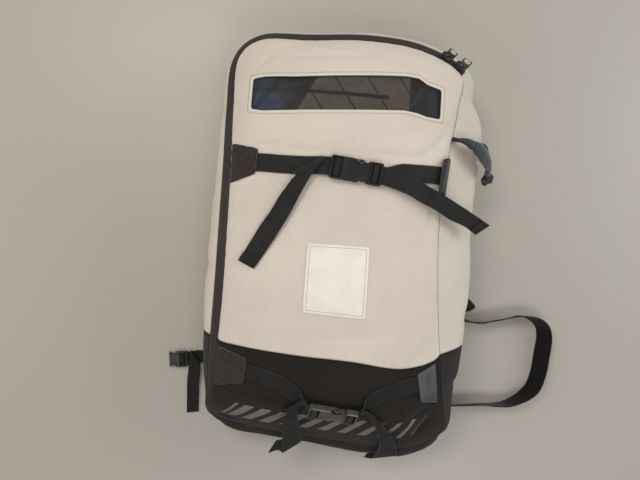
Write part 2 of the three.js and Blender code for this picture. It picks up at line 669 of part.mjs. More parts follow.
const STRAPS = {
  strap_upper_left: {
    run: onFront([
      [-150, 152, -151, 122, 1.7],
      [-113, 151, -113, 121, 1.7],
      [-76, 151, -77, 121, 1.9],
    ]),
    buckle: [UPPER_BUCKLE, -1],
    tail: onFront([
      [-42, 150, -84, 124, 6.6],
      [-46, 152, -92, 124, 8.6],
      [-43, 147, -86, 120, 11],
      [-52, 134, -93, 110, 12],
      [-62, 117, -100, 99, 12],
      [-73, 95, -110, 84, 10.5],
      [-90, 58, -124, 58, 8],
      [-106, 28, -140, 33, 5.5],
      [-126, -7, -157, 2, 3.4],
      [-146, -40, -174, -28, 2.2],
    ]),
  },
  strap_upper_right: {
    run: onFront([
      [166, 154, 166, 124, 3],
      [145, 154, 145, 124, 2.4],
      [121, 153, 122, 123, 1.9],
      [88, 151, 89, 121, 1.9],
    ]),
    buckle: [UPPER_BUCKLE, 1],
    tail: [
      ...onFront([
        [70, 141, 65, 111, 7],
        [90, 138, 80, 107, 10],
        [115, 129, 105, 99, 12],
        [138, 117, 128, 88, 13],
      ]),
      ...inAir([
        [160, 106, 222, 148, 80, 220],
        [193, 91, 212, 179, 65, 208],
        [230, 74, 196, 211, 55, 192],
        [255, 62, 186, 233, 44, 180],
      ]),
    ],
  },
  strap_lower_left: {
    run: onFront([
      [-150, -211, -152, -237, 1.9],
      [-122, -217, -124, -244, 1.9],
      [-92, -226, -97, -253, 2.2],
      [-70, -238, -78, -265, 3],
      [-56, -250, -62, -275, 3.8],
    ]),
    buckle: [LOWER_BUCKLE, -1],
    tail: [
      ...onFront([
        [-45, -266, -74, -290, 9],
        [-49, -265, -80, -289, 13],
        [-46, -269, -76, -293, 17],
        [-55, -279, -81, -303, 19],
        [-57, -296, -84, -322, 20],
      ]),
      ...inAir([
        [-54, -318, 169, -84, -343, 146],
        [-50, -343, 146, -84, -366, 126],
        [-48, -366, 124, -82, -396, 106],
        [-49, -369, 118, -83, -402, 100],
        [-56, -369, 113, -88, -400, 96],
        [-74, -373, 104, -98, -403, 90],
        [-96, -382, 96, -110, -411, 84],
      ]),
    ],
  },
  strap_lower_right: {
    run: onFront([
      [146, -214, 152, -240, 1.9],
      [120, -224, 127, -251, 1.9],
      [97, -233, 102, -260, 2.2],
      [77, -243, 80, -270, 3],
      [62, -256, 64, -282, 3.8],
    ]),
    buckle: [LOWER_BUCKLE, 1],
    tail: [
      ...onFront([
        [52, -279, 74, -294, 9],
        [55, -276, 80, -291, 13],
        [53, -281, 78, -293, 18],
        [65, -288, 88, -298, 20],
        [78, -304, 102, -314, 20],
      ]),
      ...inAir([
        [89, -327, 164, 117, -335, 158],
        [97, -350, 138, 127, -356, 134],
        [101, -376, 110, 135, -376, 108],
        [96, -400, 88, 140, -396, 88],
        [92, -409, 80, 139, -400, 82],
        [88, -411, 76, 130, -402, 76],
        [80, -413, 70, 88, -404, 68],
      ]),
    ],
  },
};

const strapBody = ({ run, buckle, tail }) => ribbon([
  ...smoothRows(run, 2), ...ladderRows(...buckle), ...smoothRows(tail, 2),
]);

// The upper right anchor is folded over the strap's end and pulled up on its edge.
const ANCHOR = inAir([
  [173.2, 166, 193.7, 168.6, 106, 194.6],
  [175, 168, 204, 170, 106, 204],
  [171, 169, 209, 166, 108, 209],
  [166, 168, 210, 161, 111, 211],
  [162, 166, 209, 158, 113, 212],
]);

// The grab handle on the right wall: middle, and width and thickness of the padded sleeve

const HANDLE = table(['x', 'y', 'z', 'wide', 'thick'], [
  [197, 202, 201, 13, 5],
  [205, 200, 202, 15, 7],
  [214, 197, 200, 18, 10],
  [226, 191, 192, 24, 13],
  [240, 184, 178, 25, 14],
  [253, 176, 160, 21, 13],
  [263, 168, 141, 16, 10],
  [269, 160, 124, 12, 8],
]);
const HANDLE_SIDES = 8;
const HANDLE_WIDE_WAY = [0.45, 1, 0]; // the sleeve's width points this way

function handleFrame(rows, k) {
  const at = (i) => vec(rows[i].x, rows[i].y, rows[i].z);
  const forward = at(Math.min(k + 1, rows.length - 1)).sub(at(Math.max(k - 1, 0))).normalize();
  const wideWay = vec(...HANDLE_WIDE_WAY);
  const across = wideWay.addScaledVector(forward, -forward.dot(wideWay)).normalize();
  return { middle: at(k), across, up: across.clone().cross(forward).negate() };
}

function handleSleeve() {
  const rings = HANDLE.map((row, k) => {
    const { middle, across, up } = handleFrame(HANDLE, k);
    return range(HANDLE_SIDES - 1).map((n) => {
      const angle = (2 * Math.PI * n) / HANDLE_SIDES;
      const p = along(middle, across, (Math.cos(angle) * row.wide) / 2);
      return along(p, up, (Math.sin(angle) * row.thick) / 2);
    });
  });
  return loft(rings);
}

// A closed body through rings of points, with a point in the middle of each end
function loft(rings) {
  const closed = rings.map((ring) => [...ring, ring[0]]);
  const middle = (ring) => ring.reduce((sum, p) => sum.add(p), vec(0, 0, 0)).divideScalar(ring.length);
  const cap = (ring, centre) => ring.slice(1).map((p, k) => [ring[k], p, centre]);
  const first = cap(closed[0], middle(rings[0]));
  const last = cap(closed.at(-1), middle(rings.at(-1)));
  return body([...skin(closed), ...first, ...turned(last)]);
}

const handleWebbing = () => ribbon(smoothRows(inAir([
  [178.6, 214, 192.6, 176.6, 200, 193.4],
  [188, 209.5, 197, 186, 196.5, 197.5],
  [203, 205, 196.6, 200, 192, 196.6],
  [214, 203, 190, 209, 189, 189],
  [227, 197, 178, 217, 180, 177],
  [240, 190, 164, 227, 172, 163],
  [252, 181, 147, 239, 165, 146],
  [260, 172, 131, 249, 158, 131],
  [264, 164, 116, 255, 151, 116],
  [264, 158, 104, 258, 146, 104],
  [261.5, 154, 94, 259.5, 142, 94],
]), 2));

const CRUMPLE = { share: 0.12, folds: 3, twist: 1.7, tilt: 1.5 };

// The handle's end, gathered and sewn into a lump
function handleEnd() {
  const rings = table(['x', 'y', 'z', 'r'], [
    [271.1, 160, 118, 4],
    [272.9, 158, 113, 8],
    [273.9, 155, 107, 10],
    [273.9, 152, 101, 8.5],
    [272.9, 150, 96, 7.5],
    [271.9, 148, 92, 4],
  ]).map(({ x, y, z, r }, k) => range(HANDLE_SIDES - 1).map((n) => {
    const angle = (2 * Math.PI * n) / HANDLE_SIDES;
    const crumpled = r * (1 + CRUMPLE.share * Math.sin(CRUMPLE.folds * angle + CRUMPLE.twist * k));
    return vec(x + crumpled * Math.cos(angle), y + crumpled * Math.sin(angle), z + CRUMPLE.tilt * Math.cos(angle));
  }));
  return loft(rings);
}

// Webbing on the floor: middle, roll about its own line and width

function rolledRows(rows, width) {
  const path = table(['x', 'y', 'roll'], rows);
  return path.map(({ x, y, roll }, k) => {
    const before = path[Math.max(k - 1, 0)];
    const after = path[Math.min(k + 1, path.length - 1)];
    const forward = vec(after.x - before.x, after.y - before.y, 0).normalize();
    const lean = THREE.MathUtils.degToRad(roll);
    const across = vec(-forward.y, forward.x, 0).multiplyScalar(Math.cos(lean)).add(vec(0, 0, Math.sin(lean)));
    const middle = vec(x, y, FLOOR_LIFT + (Math.abs(Math.sin(lean)) * width) / 2);
    return { a: along(middle, across, width / 2), b: along(middle, across, -width / 2) };
  });
}

// The shoulder strap's loop, from the back seam out over the floor and back
const LOOP = rolledRows([
  [201, -138, 0],
  [226, -137, 3],
  [242, -135, 34],
  [262, -133, 66],
  [288, -136, 82],
  [310, -136, 84],
  [331, -132, 76],
  [357, -126, 76],
  [378, -120, 78],
  [394, -116, 84],
  [412, -117, 78],
  [430, -124, 68],
  [443, -136, 58],
  [449, -153, 47],
  [449, -172, 36],
  [447, -192, 30],
  [445, -212, 36],
  [441, -233, 43],
  [430, -264, 52],
  [417, -278, 62],
  [402, -289, 70],
  [376, -302, 80],
  [352, -306, 84],
  [322, -307, 74],
  [290, -311, 75],
  [262, -313, 60],
  [244, -311, 34],
  [229, -309, 3],
  [212.5, -307, 0],
], LOOP_WIDTH);

const BELT_WIDTH = 26;
const BELT_WEBBING = 1.5;
const BELT_BUCKLE = { x: -340, y: -262, z: 5.2, turn: 6.5, scale: 0.86 };

function beltFrame() {
  const { x, y, z, turn, scale } = BELT_BUCKLE;
  const frame = new THREE.Matrix4().makeTranslation(x, y, z);
  frame.multiply(new THREE.Matrix4().makeRotationZ(THREE.MathUtils.degToRad(turn) + Math.PI));
  return frame.multiply(new THREE.Matrix4().makeScale(scale, scale, scale));
}

// The hip belt's end: out from under the bag, through the ladder and down as the loose tail
function beltStrap() {
  const frame = beltFrame();
  const half = BELT_WIDTH / 2 / BELT_BUCKLE.scale;
  const ladder = LADDER_PATH.map(({ x, z }) => ({
    a: vec(-x, half, z).applyMatrix4(frame),
    b: vec(-x, -half, z).applyMatrix4(frame),
  }));
  const run = inAir([
    [-213, -258, 1.5, -213, -232, 1.5],
    [-224, -260, 1.6, -224, -234, 1.6],
    [-240, -262, 2.4, -241, -236, 2.4],
    [-264, -264, 1.8, -266, -238, 1.8],
    [-284, -266, 1.7, -287, -240, 1.7],
  ]);
  const tail = inAir([
    [-278, -266, 5.4, -298, -241, 5.4],
    [-275, -264, 7.6, -295, -239, 7.6],
    [-276, -267, 9.6, -297, -243, 9.8],
    [-274, -276, 10.2, -297, -263, 11],
    [-274, -290, 8.6, -299, -286, 10.6],
    [-275, -315, 5.4, -300, -318, 6.6],
    [-274, -343, 3, -299, -347, 3.4],
    [-273, -370, 1.8, -298, -374, 1.8],
  ]);
  return ribbon([...smoothRows(run, 2), ...ladder, ...smoothRows(tail, 2)], BELT_WEBBING);
}

const stripTip = () => ribbon(inAir([
  [202.4, -92, FLOOR_LIFT + 0.5, 202.4, -116, FLOOR_LIFT + 0.5],
  [250, -92, FLOOR_LIFT, 250, -118, FLOOR_LIFT],
  [286, -89, FLOOR_LIFT, 286, -117, FLOOR_LIFT],
  [302, -103, FLOOR_LIFT, 302, -109, FLOOR_LIFT],
]));

// Zip sliders and their pulls. A slider's frame has X along the zip and Z up from it.

const SLIDER = { long: 20, wide: 14, thick: 4.4, post: 3.4, bailIn: 5.6, bailOut: 8, bailWide: 3, bailHigh: 5.4 };
const SLIDER_CORNER = 5;
const PULL = { wide: 15, long: 23, neck: 8, thick: 2, back: 2.6, neckEnd: 4, shoulder: 6, taper: 0.6 };
const PULL_TILT = THREE.MathUtils.degToRad(35); // the pulls stand up from the wall
const SLIDER_REACH = 8; // from the front seam to a slider's middle
const PULL_SLOT = { reach: 3.4, radius: 2.2, fromEnd: 4.5 };

function sliderFrame({ s, lift }) {
  const t = wallReach(s, SLIDER_REACH);
  const up = wallNormal(s, t);
  const forward = vec(outward(s).y, -outward(s).x, 0);
  forward.addScaledVector(up, -forward.dot(up)).normalize();
  const across = up.clone().cross(forward);
  return new THREE.Matrix4().makeBasis(forward, across, up).setPosition(along(wallPoint(s, t), up, lift + SLIDER.thick / 2));
}

function slider() {
  const { long, wide, thick, bailIn, bailOut, bailWide, bailHigh, post } = SLIDER;
  const plate = block(-long / 2, long / 2, wide / 2, thick, SLIDER_CORNER);
  const top = thick / 2 + bailHigh;
  const posts = [1, -1].map((side) => box(
    Math.min(side * bailIn, side * bailOut), Math.max(side * bailIn, side * bailOut), bailWide / 2, 1, top + 1));
  const bail = box(-bailOut, bailOut, bailWide / 2, top, top + post / 2);
  return join(plate, ...posts, bail);
}

// The pull lies out over the wall, its neck under the bail.
function pull() {
  const { wide, long, neck, thick, back, neckEnd, shoulder, taper } = PULL;
  const half = [[neck / 2, -back], [neck / 2, neckEnd], [wide / 2, shoulder], [wide / 2 - taper, long]];
  const mirrored = [...half].reverse().map(([x, y]) => [-x, y]);
  const shape = new THREE.Shape([...half, ...mirrored].map(([x, y]) => new THREE.Vector2(x, y)));
  const slot = new THREE.Path();
  const slotY = long - PULL_SLOT.fromEnd;
  slot.absarc(-PULL_SLOT.reach, slotY, PULL_SLOT.radius, Math.PI / 2, Math.PI * 1.5);
  slot.absarc(PULL_SLOT.reach, slotY, PULL_SLOT.radius, -Math.PI / 2, Math.PI / 2);
  shape.holes.push(slot);
  const plate = new THREE.ExtrudeGeometry(shape, { depth: thick, bevelEnabled: false, curveSegments: 4 });
  return plate.translate(0, 0, -thick / 2).rotateX(PULL_TILT).translate(0, 0, (SLIDER.thick + SLIDER.bailHigh) / 2);
}

const SLIDER_PLACES = table(['s', 'lift'], [
  [10.5, 0.65],
  [10.83, 0.3],
]);

// The whole bag

const group = new THREE.Group();

function add(name, geometry, finish, frame) {
  const mesh = new THREE.Mesh(geometry, FINISH[finish]());
  mesh.name = name;
  if (frame) mesh.applyMatrix4(frame);
  group.add(mesh);
}

add('kite_bundle', kiteBundle(), 'kite');
add('back_panel', backPanel(), 'base');
add('wall_upper', wall(BLACK_LEFT, BLACK_RIGHT), 'stone');
add('wall_lower', wall(BLACK_RIGHT, BLACK_LEFT), 'base');
add('front_upper', cut(frontPanel(BASE_ROWS, BASE_ROWS + UPPER_ROWS), windowCutter()), 'stone');
add('front_base', frontPanel(0, BASE_ROWS), 'base');
add('window_mesh', windowMesh(), 'mesh');
add('zip_band', zipBand(), 'zip');
SLIDER_PLACES.forEach((slot, k) => {
  add(`zip_slider_${k + 1}`, slider(), 'plastic', sliderFrame(slot));
  add(`zip_pull_${k + 1}`, pull(), 'metal', sliderFrame(slot));
});
add('label_patch', patch(LABEL, LABEL_THICK, LABEL_LIFT), 'label');
add('tab_upper_left', patch(TAB_UPPER_LEFT), 'felt');
add('tab_lower_left', patch(TAB_LOWER_LEFT), 'felt');
add('tab_lower_right', patch(TAB_LOWER_RIGHT), 'smoothTab');
add('tab_upper_right', ribbon(ANCHOR, TAB_THICK), 'smoothTab');
for (const [name, strap] of Object.entries(STRAPS)) add(name, strapBody(strap), 'webbing');
add('buckle_upper_socket', buckleSocket(BUCKLE.mouth), 'plastic', UPPER_BUCKLE);
add('buckle_upper_plug', bucklePlug(), 'plastic', UPPER_BUCKLE);
add('buckle_lower_socket', buckleSocket(BUCKLE.mouth), 'plastic', LOWER_BUCKLE);
add('buckle_lower_plug', bucklePlug(), 'plastic', LOWER_BUCKLE);
add('handle_webbing', handleWebbing(), 'webbing');
add('handle_sleeve', handleSleeve(), 'sleeve');
add('handle_end', handleEnd(), 'webbing');
add('belt_strap', beltStrap(), 'webbing');
add('belt_buckle', buckleSocket(1), 'greyPlastic', beltFrame());
add('loop_strap', ribbon(smoothRows(LOOP, 2)), 'webbing');
add('strap_tip', stripTip(), 'webbing');

export default group;
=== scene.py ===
# %% [markdown]
# # A packed kitesurfing bag, piece by piece
# The bag lies on its back on the floor, stuffed with a rolled kite. Every piece is cloth, webbing or a
# small plastic or metal fitting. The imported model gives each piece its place; here each one gets its real
# form and finish. All shape sizes below are in millimetres, X across the bag, Y along it and Z up from the
# floor.

import math
import random

import bmesh
import bpy
import numpy as np
from mathutils import Matrix, Vector, noise


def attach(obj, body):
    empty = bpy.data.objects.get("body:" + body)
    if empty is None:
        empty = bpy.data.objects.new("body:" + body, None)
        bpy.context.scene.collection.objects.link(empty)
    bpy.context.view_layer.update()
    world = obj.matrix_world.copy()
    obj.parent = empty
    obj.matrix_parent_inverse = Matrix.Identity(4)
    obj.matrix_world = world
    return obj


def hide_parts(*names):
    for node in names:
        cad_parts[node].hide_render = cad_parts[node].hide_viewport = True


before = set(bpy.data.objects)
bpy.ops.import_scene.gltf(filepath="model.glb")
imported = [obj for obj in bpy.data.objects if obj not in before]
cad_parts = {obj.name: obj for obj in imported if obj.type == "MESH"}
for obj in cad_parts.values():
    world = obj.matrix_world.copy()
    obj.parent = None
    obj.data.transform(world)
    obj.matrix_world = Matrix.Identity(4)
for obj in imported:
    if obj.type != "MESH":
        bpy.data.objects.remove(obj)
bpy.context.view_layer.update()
MM = 0.001
METRES = Matrix.Scale(MM, 4)  # turns a place in mm into one in metres
random.seed(7)
print("nodes:", len(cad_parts))

# %% [markdown]
# ## The curves of a stuffed bag
# A sewer would draw the outline of the front panel first. Here the outline is a closed row of stations.
# Each one says where the front seam runs, how far the wall bulges below it and how far the wall tucks back
# in at the floor. A smooth curve through the stations gives every point between them, so one short table
# shapes the whole bag.

# %% The outline's stations
STATIONS = np.array([
    # x, y, seam height, bulge, height of the bulge, tuck
    [-229, -319, 124, 10, 64, 20],
    [-213, -255, 170, 34, 80, 38],
    [-202, -102, 195, 49, 96, 50],
    [-201, 34, 199, 48, 98, 50],
    [-202, 138, 199, 43, 98, 48],
    [-205, 232, 197, 36, 98, 48],
    [-205, 321, 184, 29, 96, 46],
    [-165, 357, 190, 35, 98, 46],
    [-81, 360, 194, 44, 98, 46],
    [15, 366, 194, 44, 98, 46],
    [112, 357, 192, 45, 96, 46],
    [189, 322, 182, 46, 94, 46],
    [186, 255, 188, 69, 96, 54],
    [174, 164, 192, 82, 96, 58],
    [166, 55, 194, 84, 96, 60],
    [173, -76, 194, 80, 96, 58],
    [193, -228, 176, 53, 86, 48],
    [213, -329, 120, 28, 62, 36],
    [151, -385, 84, 28, 46, 34],
    [38, -380, 82, 27, 46, 34],
    [-82, -370, 82, 23, 46, 34],
    [-186, -352, 90, 26, 50, 30],
], float)
AROUND = len(STATIONS)
TOP_LEFT, TOP_RIGHT, FOOT_RIGHT = 6, 11, 17  # stations at the corners; station 0 is the foot's left one


def through(rows, place, closed=False):
    """The smooth curve through rows of numbers, at places counted in rows."""
    rows = np.asarray(rows, float)
    place = np.asarray(place, float)
    count = len(rows)
    if closed:
        place = np.mod(place, count)
    i = np.clip(np.floor(place).astype(int), 0, count - (1 if closed else 2))
    t = (place - i)[..., None]
    at = (lambda k: rows[(i + k) % count]) if closed else (lambda k: rows[np.clip(i + k, 0, count - 1)])
    p0, p1, p2, p3 = at(-1), at(0), at(1), at(2)
    bend = (2 * p0 - 5 * p1 + 4 * p2 - p3) * t ** 2 + (3 * p1 - p0 - 3 * p2 + p3) * t ** 3
    return 0.5 * (2 * p1 + (p2 - p0) * t + bend)


def station(s):
    return through(STATIONS, s, closed=True)


def seam_point(s):
    return station(s)[..., :3]


def unit(vectors):
    return vectors / np.maximum(np.linalg.norm(vectors, axis=-1, keepdims=True), 1e-9)


def outward(s):
    s = np.asarray(s, float)
    d = seam_point(s + 0.02) - seam_point(s - 0.02)
    return unit(np.stack([-d[..., 1], d[..., 0], 0 * d[..., 0]], -1))


around = np.linspace(0, AROUND, 2000)
print("front seam:", round(np.linalg.norm(np.diff(seam_point(around), axis=0), axis=1).sum()), "mm round")

# %% [markdown]
# ## Wall and front as surfaces
# The wall falls from the front seam in a round S: out to its bulge, then in under the bag. The front is the
# patch that its four seams span, with a crown where the kite pushes it up. A few soft folds and hollows
# break both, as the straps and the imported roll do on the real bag.

# %% The wall
SHOULDER = math.radians(38)  # slope at which the wall leaves the front seam
SEAM_LEAN = math.radians(34)  # lean of the seam between front and wall
HEM_HEIGHT = 1.0
LEAN, DROP, TURN_IN = 0.42, 0.6, 0.35  # shares that set how round the wall's section is
CLOTH = 1.2

WALL_FOLDS = [
    # along the outline, down the wall, half widths there, depth
    (11.38, 0.36, 0.24, 0.26, 13),
    (13.1, 0.3, 0.3, 0.16, 9),
    (16.5, 0.3, 0.35, 0.2, 6),
    (0.5, 0.32, 0.4, 0.2, 4),
    (8.5, 0.4, 0.5, 0.2, 3),
]


def bezier(a, b, c, d, t):
    r = 1 - t
    return r ** 3 * a + 3 * r * r * t * b + 3 * r * t * t * c + t ** 3 * d


def plain_wall(s, t):
    row = station(s)
    x, y, seam, out, belly, tuck = [row[..., k] for k in range(6)]
    hem = HEM_HEIGHT + 0 * out
    lean = LEAN * out
    up, down = np.clip(2 * t, 0, 1), np.clip(2 * t - 1, 0, 1)
    reach_up = bezier(0, lean, out, out, up)
    high_up = bezier(seam, seam - lean * math.tan(SHOULDER), (belly + seam) / 2, belly, up)
    reach_down = bezier(out, out, out - TURN_IN * tuck, out - tuck, down)
    high_down = bezier(belly, belly - DROP * (belly - hem), hem, hem, down)
    reach, high = np.where(t <= 0.5, reach_up, reach_down), np.where(t <= 0.5, high_up, high_down)
    side = outward(s)
    return np.stack([x + side[..., 0] * reach, y + side[..., 1] * reach, high], -1)


def bell(offset, width):
    return np.exp(-((offset / width) ** 2))


def fade(value, length):
    t = np.clip(value / length, 0, 1)
    return t * t * (3 - 2 * t)


def normal_of(surface, a, b, step=0.01):
    da = surface(a + step, b) - surface(a - step, b)
    db = surface(a, np.minimum(b + step, 1)) - surface(a, np.maximum(b - step, 0))
    return unit(np.cross(da, db))


def seam_normal(s):
    return outward(s) * math.sin(SEAM_LEAN) + np.array([0, 0, math.cos(SEAM_LEAN)])


def wall_normal(s, t):
    mitre = (1 - fade(t, 0.02))[..., None]
    return unit(normal_of(plain_wall, s, t) * (1 - mitre) + seam_normal(s) * mitre)


def wall_point(s, t):
    s, t = np.broadcast_arrays(np.asarray(s, float), np.asarray(t, float))
    deep = sum(depth * bell(s - fs, ds) * bell(t - ft, dt) for fs, ft, ds, dt, depth in WALL_FOLDS)
    edge = fade(t, 0.12) * fade(1 - t, 0.12)
    return plain_wall(s, t) - wall_normal(s, t) * (deep * edge)[..., None]


def wall_reach(s, length):
    """How far down the wall, as t, a length of cloth from the front seam reaches."""
    steps = np.linspace(0, 1, 160)
    points = plain_wall(np.repeat(s[:, None], len(steps), 1), np.repeat(steps[None, :], len(s), 0))
    run = np.concatenate([np.zeros((len(s), 1)),
                          np.cumsum(np.linalg.norm(np.diff(points, axis=1), axis=2), axis=1)], 1)
    return np.array([np.interp(goal, row, steps) for goal, row in zip(np.broadcast_to(length, s.shape), run)])


print("wall from seam to hem:", np.round(wall_point(3, np.array([0, 0.5, 1])), 0).tolist())

# %% The front
CROWN = 48
CROWN_ACROSS, CROWN_ALONG, CROWN_TOP, CROWN_FOOT = 0.85, 0.8, 4, 3.6  # powers: how square the crown is

FRONT_FOLDS = [
    # x, y, turn in degrees, half length, half width, depth
    (-10, 137, -1, 190, 40, 3),
    (-120, -222, -14, 90, 38, 3),
    (120, -226, 16, 80, 38, 3),
    (-5, 258, 3, 150, 40, 4),
    (175, -300, 60, 60, 30, 7),
    (-150, 70, -60, 70, 36, 4),
    (110, 60, 62, 90, 36, 3),
]


def along_across(x, y, middle_x, middle_y, turn):
    """Places as distances along and across a line that is turned by some degrees about its middle."""
    c, s = math.cos(math.radians(turn)), math.sin(math.radians(turn))
    dx, dy = x - middle_x, y - middle_y
    return dx * c + dy * s, dy * c - dx * s


def folded(x, y, folds):
    """How deep the folds of a table are at x, y."""
    deep = 0 * x
    for fold_x, fold_y, turn, long, wide, depth in folds:
        a, b = along_across(x, y, fold_x, fold_y, turn)
        deep = deep + depth * bell(a, long) * bell(b, wide)
    return deep


def left_edge(v):
    return seam_point(TOP_LEFT * v)


def top_edge(u):
    return seam_point(TOP_LEFT + (TOP_RIGHT - TOP_LEFT) * u)


def right_edge(v):
    return seam_point(FOOT_RIGHT - (FOOT_RIGHT - TOP_RIGHT) * v)


def foot_edge(u):
    return seam_point(FOOT_RIGHT + (AROUND - FOOT_RIGHT) * (1 - u))


def front_point(u, v):
    u, v = np.broadcast_arrays(np.asarray(u, float), np.asarray(v, float))
    a, b = u[..., None], v[..., None]
    corner = [seam_point(k) for k in (0, FOOT_RIGHT, TOP_LEFT, TOP_RIGHT)]
    p = foot_edge(u) * (1 - b) + top_edge(u) * b + left_edge(v) * (1 - a) + right_edge(v) * a
    p = p - (corner[0] * (1 - a) + corner[1] * a) * (1 - b) - (corner[2] * (1 - a) + corner[3] * a) * b
    across = np.clip(4 * u * (1 - u), 0, 1)
    w = 2 * v - 1
    along = np.clip(1 - np.where(w > 0, np.abs(w) ** CROWN_TOP, np.abs(w) ** CROWN_FOOT), 0, 1)
    edge = fade(np.minimum(np.minimum(u, 1 - u), np.minimum(v, 1 - v)), 0.1)
    p[..., 2] += CROWN * across ** CROWN_ACROSS * along ** CROWN_ALONG
    p[..., 2] -= edge * folded(p[..., 0], p[..., 1], FRONT_FOLDS)
    return p


def front_normal(u, v, step=0.004):
    du = front_point(np.minimum(u + step, 1), v) - front_point(np.maximum(u - step, 0), v)
    dv = front_point(u, np.minimum(v + step, 1)) - front_point(u, np.maximum(v - step, 0))
    return unit(np.cross(du, dv))


def base_seam(u):
    """Where along the front its black base ends."""
    return 0.262 - 0.032 * u ** 2.5


share = np.linspace(0, 1, 60)
print("front's highest point:", round(float(front_point(*np.meshgrid(share, share))[..., 2].max())))

# %% [markdown]
# ## Helpers for cloth
# A sheet starts as bmesh's grid, a flat square of cells. Its points are then moved to where a surface
# function puts them. Cells are small beside a seam, where the cloth turns in, and larger in the middle. The
# sheet's own UV map is in metres of cloth, so a weave has its real size on every piece. An attribute keeps
# the distance to the nearest edge in mm, so that a material can paint shade where the cloth turns into a
# seam.

# %% Grids and pieces
def marks(length, cell, fine, grow=1.6):
    """Places from 0 to 1 along a length: close together at both ends, and a cell apart between them."""
    steps, step = [], fine
    while step < cell:
        steps.append(step)
        step *= grow
    middle = max(2, round((length - 2 * sum(steps)) / cell))
    spacing = np.array(steps + [(length - 2 * sum(steps)) / middle] * middle + steps[::-1])
    return np.concatenate([[0], np.cumsum(spacing)]) / spacing.sum()


def new_grid(across, along, surface, cloth=(1, 1)):
    """A bmesh grid with columns and rows at the marks, placed by surface(u, v); cloth is its size in mm."""
    bm = bmesh.new()
    bmesh.ops.create_grid(bm, x_segments=len(across) - 1, y_segments=len(along) - 1, size=0.5)
    flat = np.array([v.co[:2] for v in bm.verts]) + 0.5
    u = np.interp(flat[:, 0], np.linspace(0, 1, len(across)), across)
    v = np.interp(flat[:, 1], np.linspace(0, 1, len(along)), along)
    uv = bm.loops.layers.uv.new("cloth")
    bm.verts.index_update()
    for face in bm.faces:
        for loop in face.loops:
            k = loop.vert.index
            loop[uv].uv = (u[k] * cloth[0] * MM, v[k] * cloth[1] * MM)
    edge = bm.verts.layers.float.new("edge")
    nearest = np.minimum(np.minimum(u, 1 - u) * cloth[0], np.minimum(v, 1 - v) * cloth[1])
    for vert, point, near in zip(bm.verts, surface(u, v), nearest):
        vert.co = point * MM
        vert[edge] = near
    return bm


def finish_piece(name, bm, material, nodes=(), smooth=True):
    """Makes the object, gives it its finish and lets it stand for its CAD nodes."""
    mesh = bpy.data.meshes.new(name)
    bm.to_mesh(mesh)
    bm.free()
    for polygon in mesh.polygons:
        polygon.use_smooth = smooth
    mesh.materials.append(material)
    piece = bpy.data.objects.new(name, mesh)
    bpy.context.scene.collection.objects.link(piece)
    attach(piece, "root")
    if nodes:
        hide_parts(*nodes)
    print(name, len(mesh.polygons), "faces")
    return piece


def thicken(piece, thickness, offset=-1):
    """Gives a sheet its thickness, inwards unless offset says otherwise."""
    solid = piece.modifiers.new("thickness", "SOLIDIFY")
    solid.thickness = thickness * MM
    solid.offset = offset
    return piece


def merged_copy(node, distance):
    """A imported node's mesh with its loose triangles joined."""
    source = bpy.data.objects[node]
    bm = bmesh.new()
    bm.from_mesh(source.data)
    bm.transform(source.matrix_world)
    bmesh.ops.remove_doubles(bm, verts=bm.verts, dist=distance * MM)
    return bm


def add_ball(bm, place, middle, radii, around=28, up=16):
    """Adds a ball with its own three radii, at a middle given in the frame of place."""
    shape = METRES @ place @ Matrix.Translation(middle) @ Matrix.Diagonal((*radii, 1))
    bmesh.ops.create_uvsphere(bm, u_segments=around, v_segments=up, radius=1, matrix=shape)


def wavy(points, size, seed=0.0):
    """Smooth noise between -1 and 1 at points in mm, with waves about size mm long."""
    shift = Vector((seed * 17.3, seed * -9.1, seed * 4.7))
    return np.array([noise.noise(Vector(p) / size + shift) for p in points])


# %% [markdown]
# ## Cloth that looks stuffed
# A kite packed by hand is lumpy, so the front isn't a perfect dome. Three things are added to the plain
# surface: broad lumps, creases that run from the strap anchors where the webbing pulls, and small puckers
# along each sewn edge. The last two millimetres of each panel turn down into the seam, which gives the dark
# line that a seam shows, deepened by painted shade in the cloth's colour.

# %% Lumps, creases and seams
SEAM_ROUND = 2.2  # radius with which a panel turns into its seam
# height, length and seed of each set of waves
FRONT_LUMPS = [(2.2, 95, 1), (0.8, 38, 2), (0.22, 13, 3)]
WALL_LUMPS = [(2.4, 90, 4), (1.0, 34, 5), (0.25, 12, 6)]
PUCKER, PUCKER_REACH, PUCKER_LONG, PUCKER_SHORT = 1.0, 15, 21, 6.3
CREASE_DEPTH = 1.5

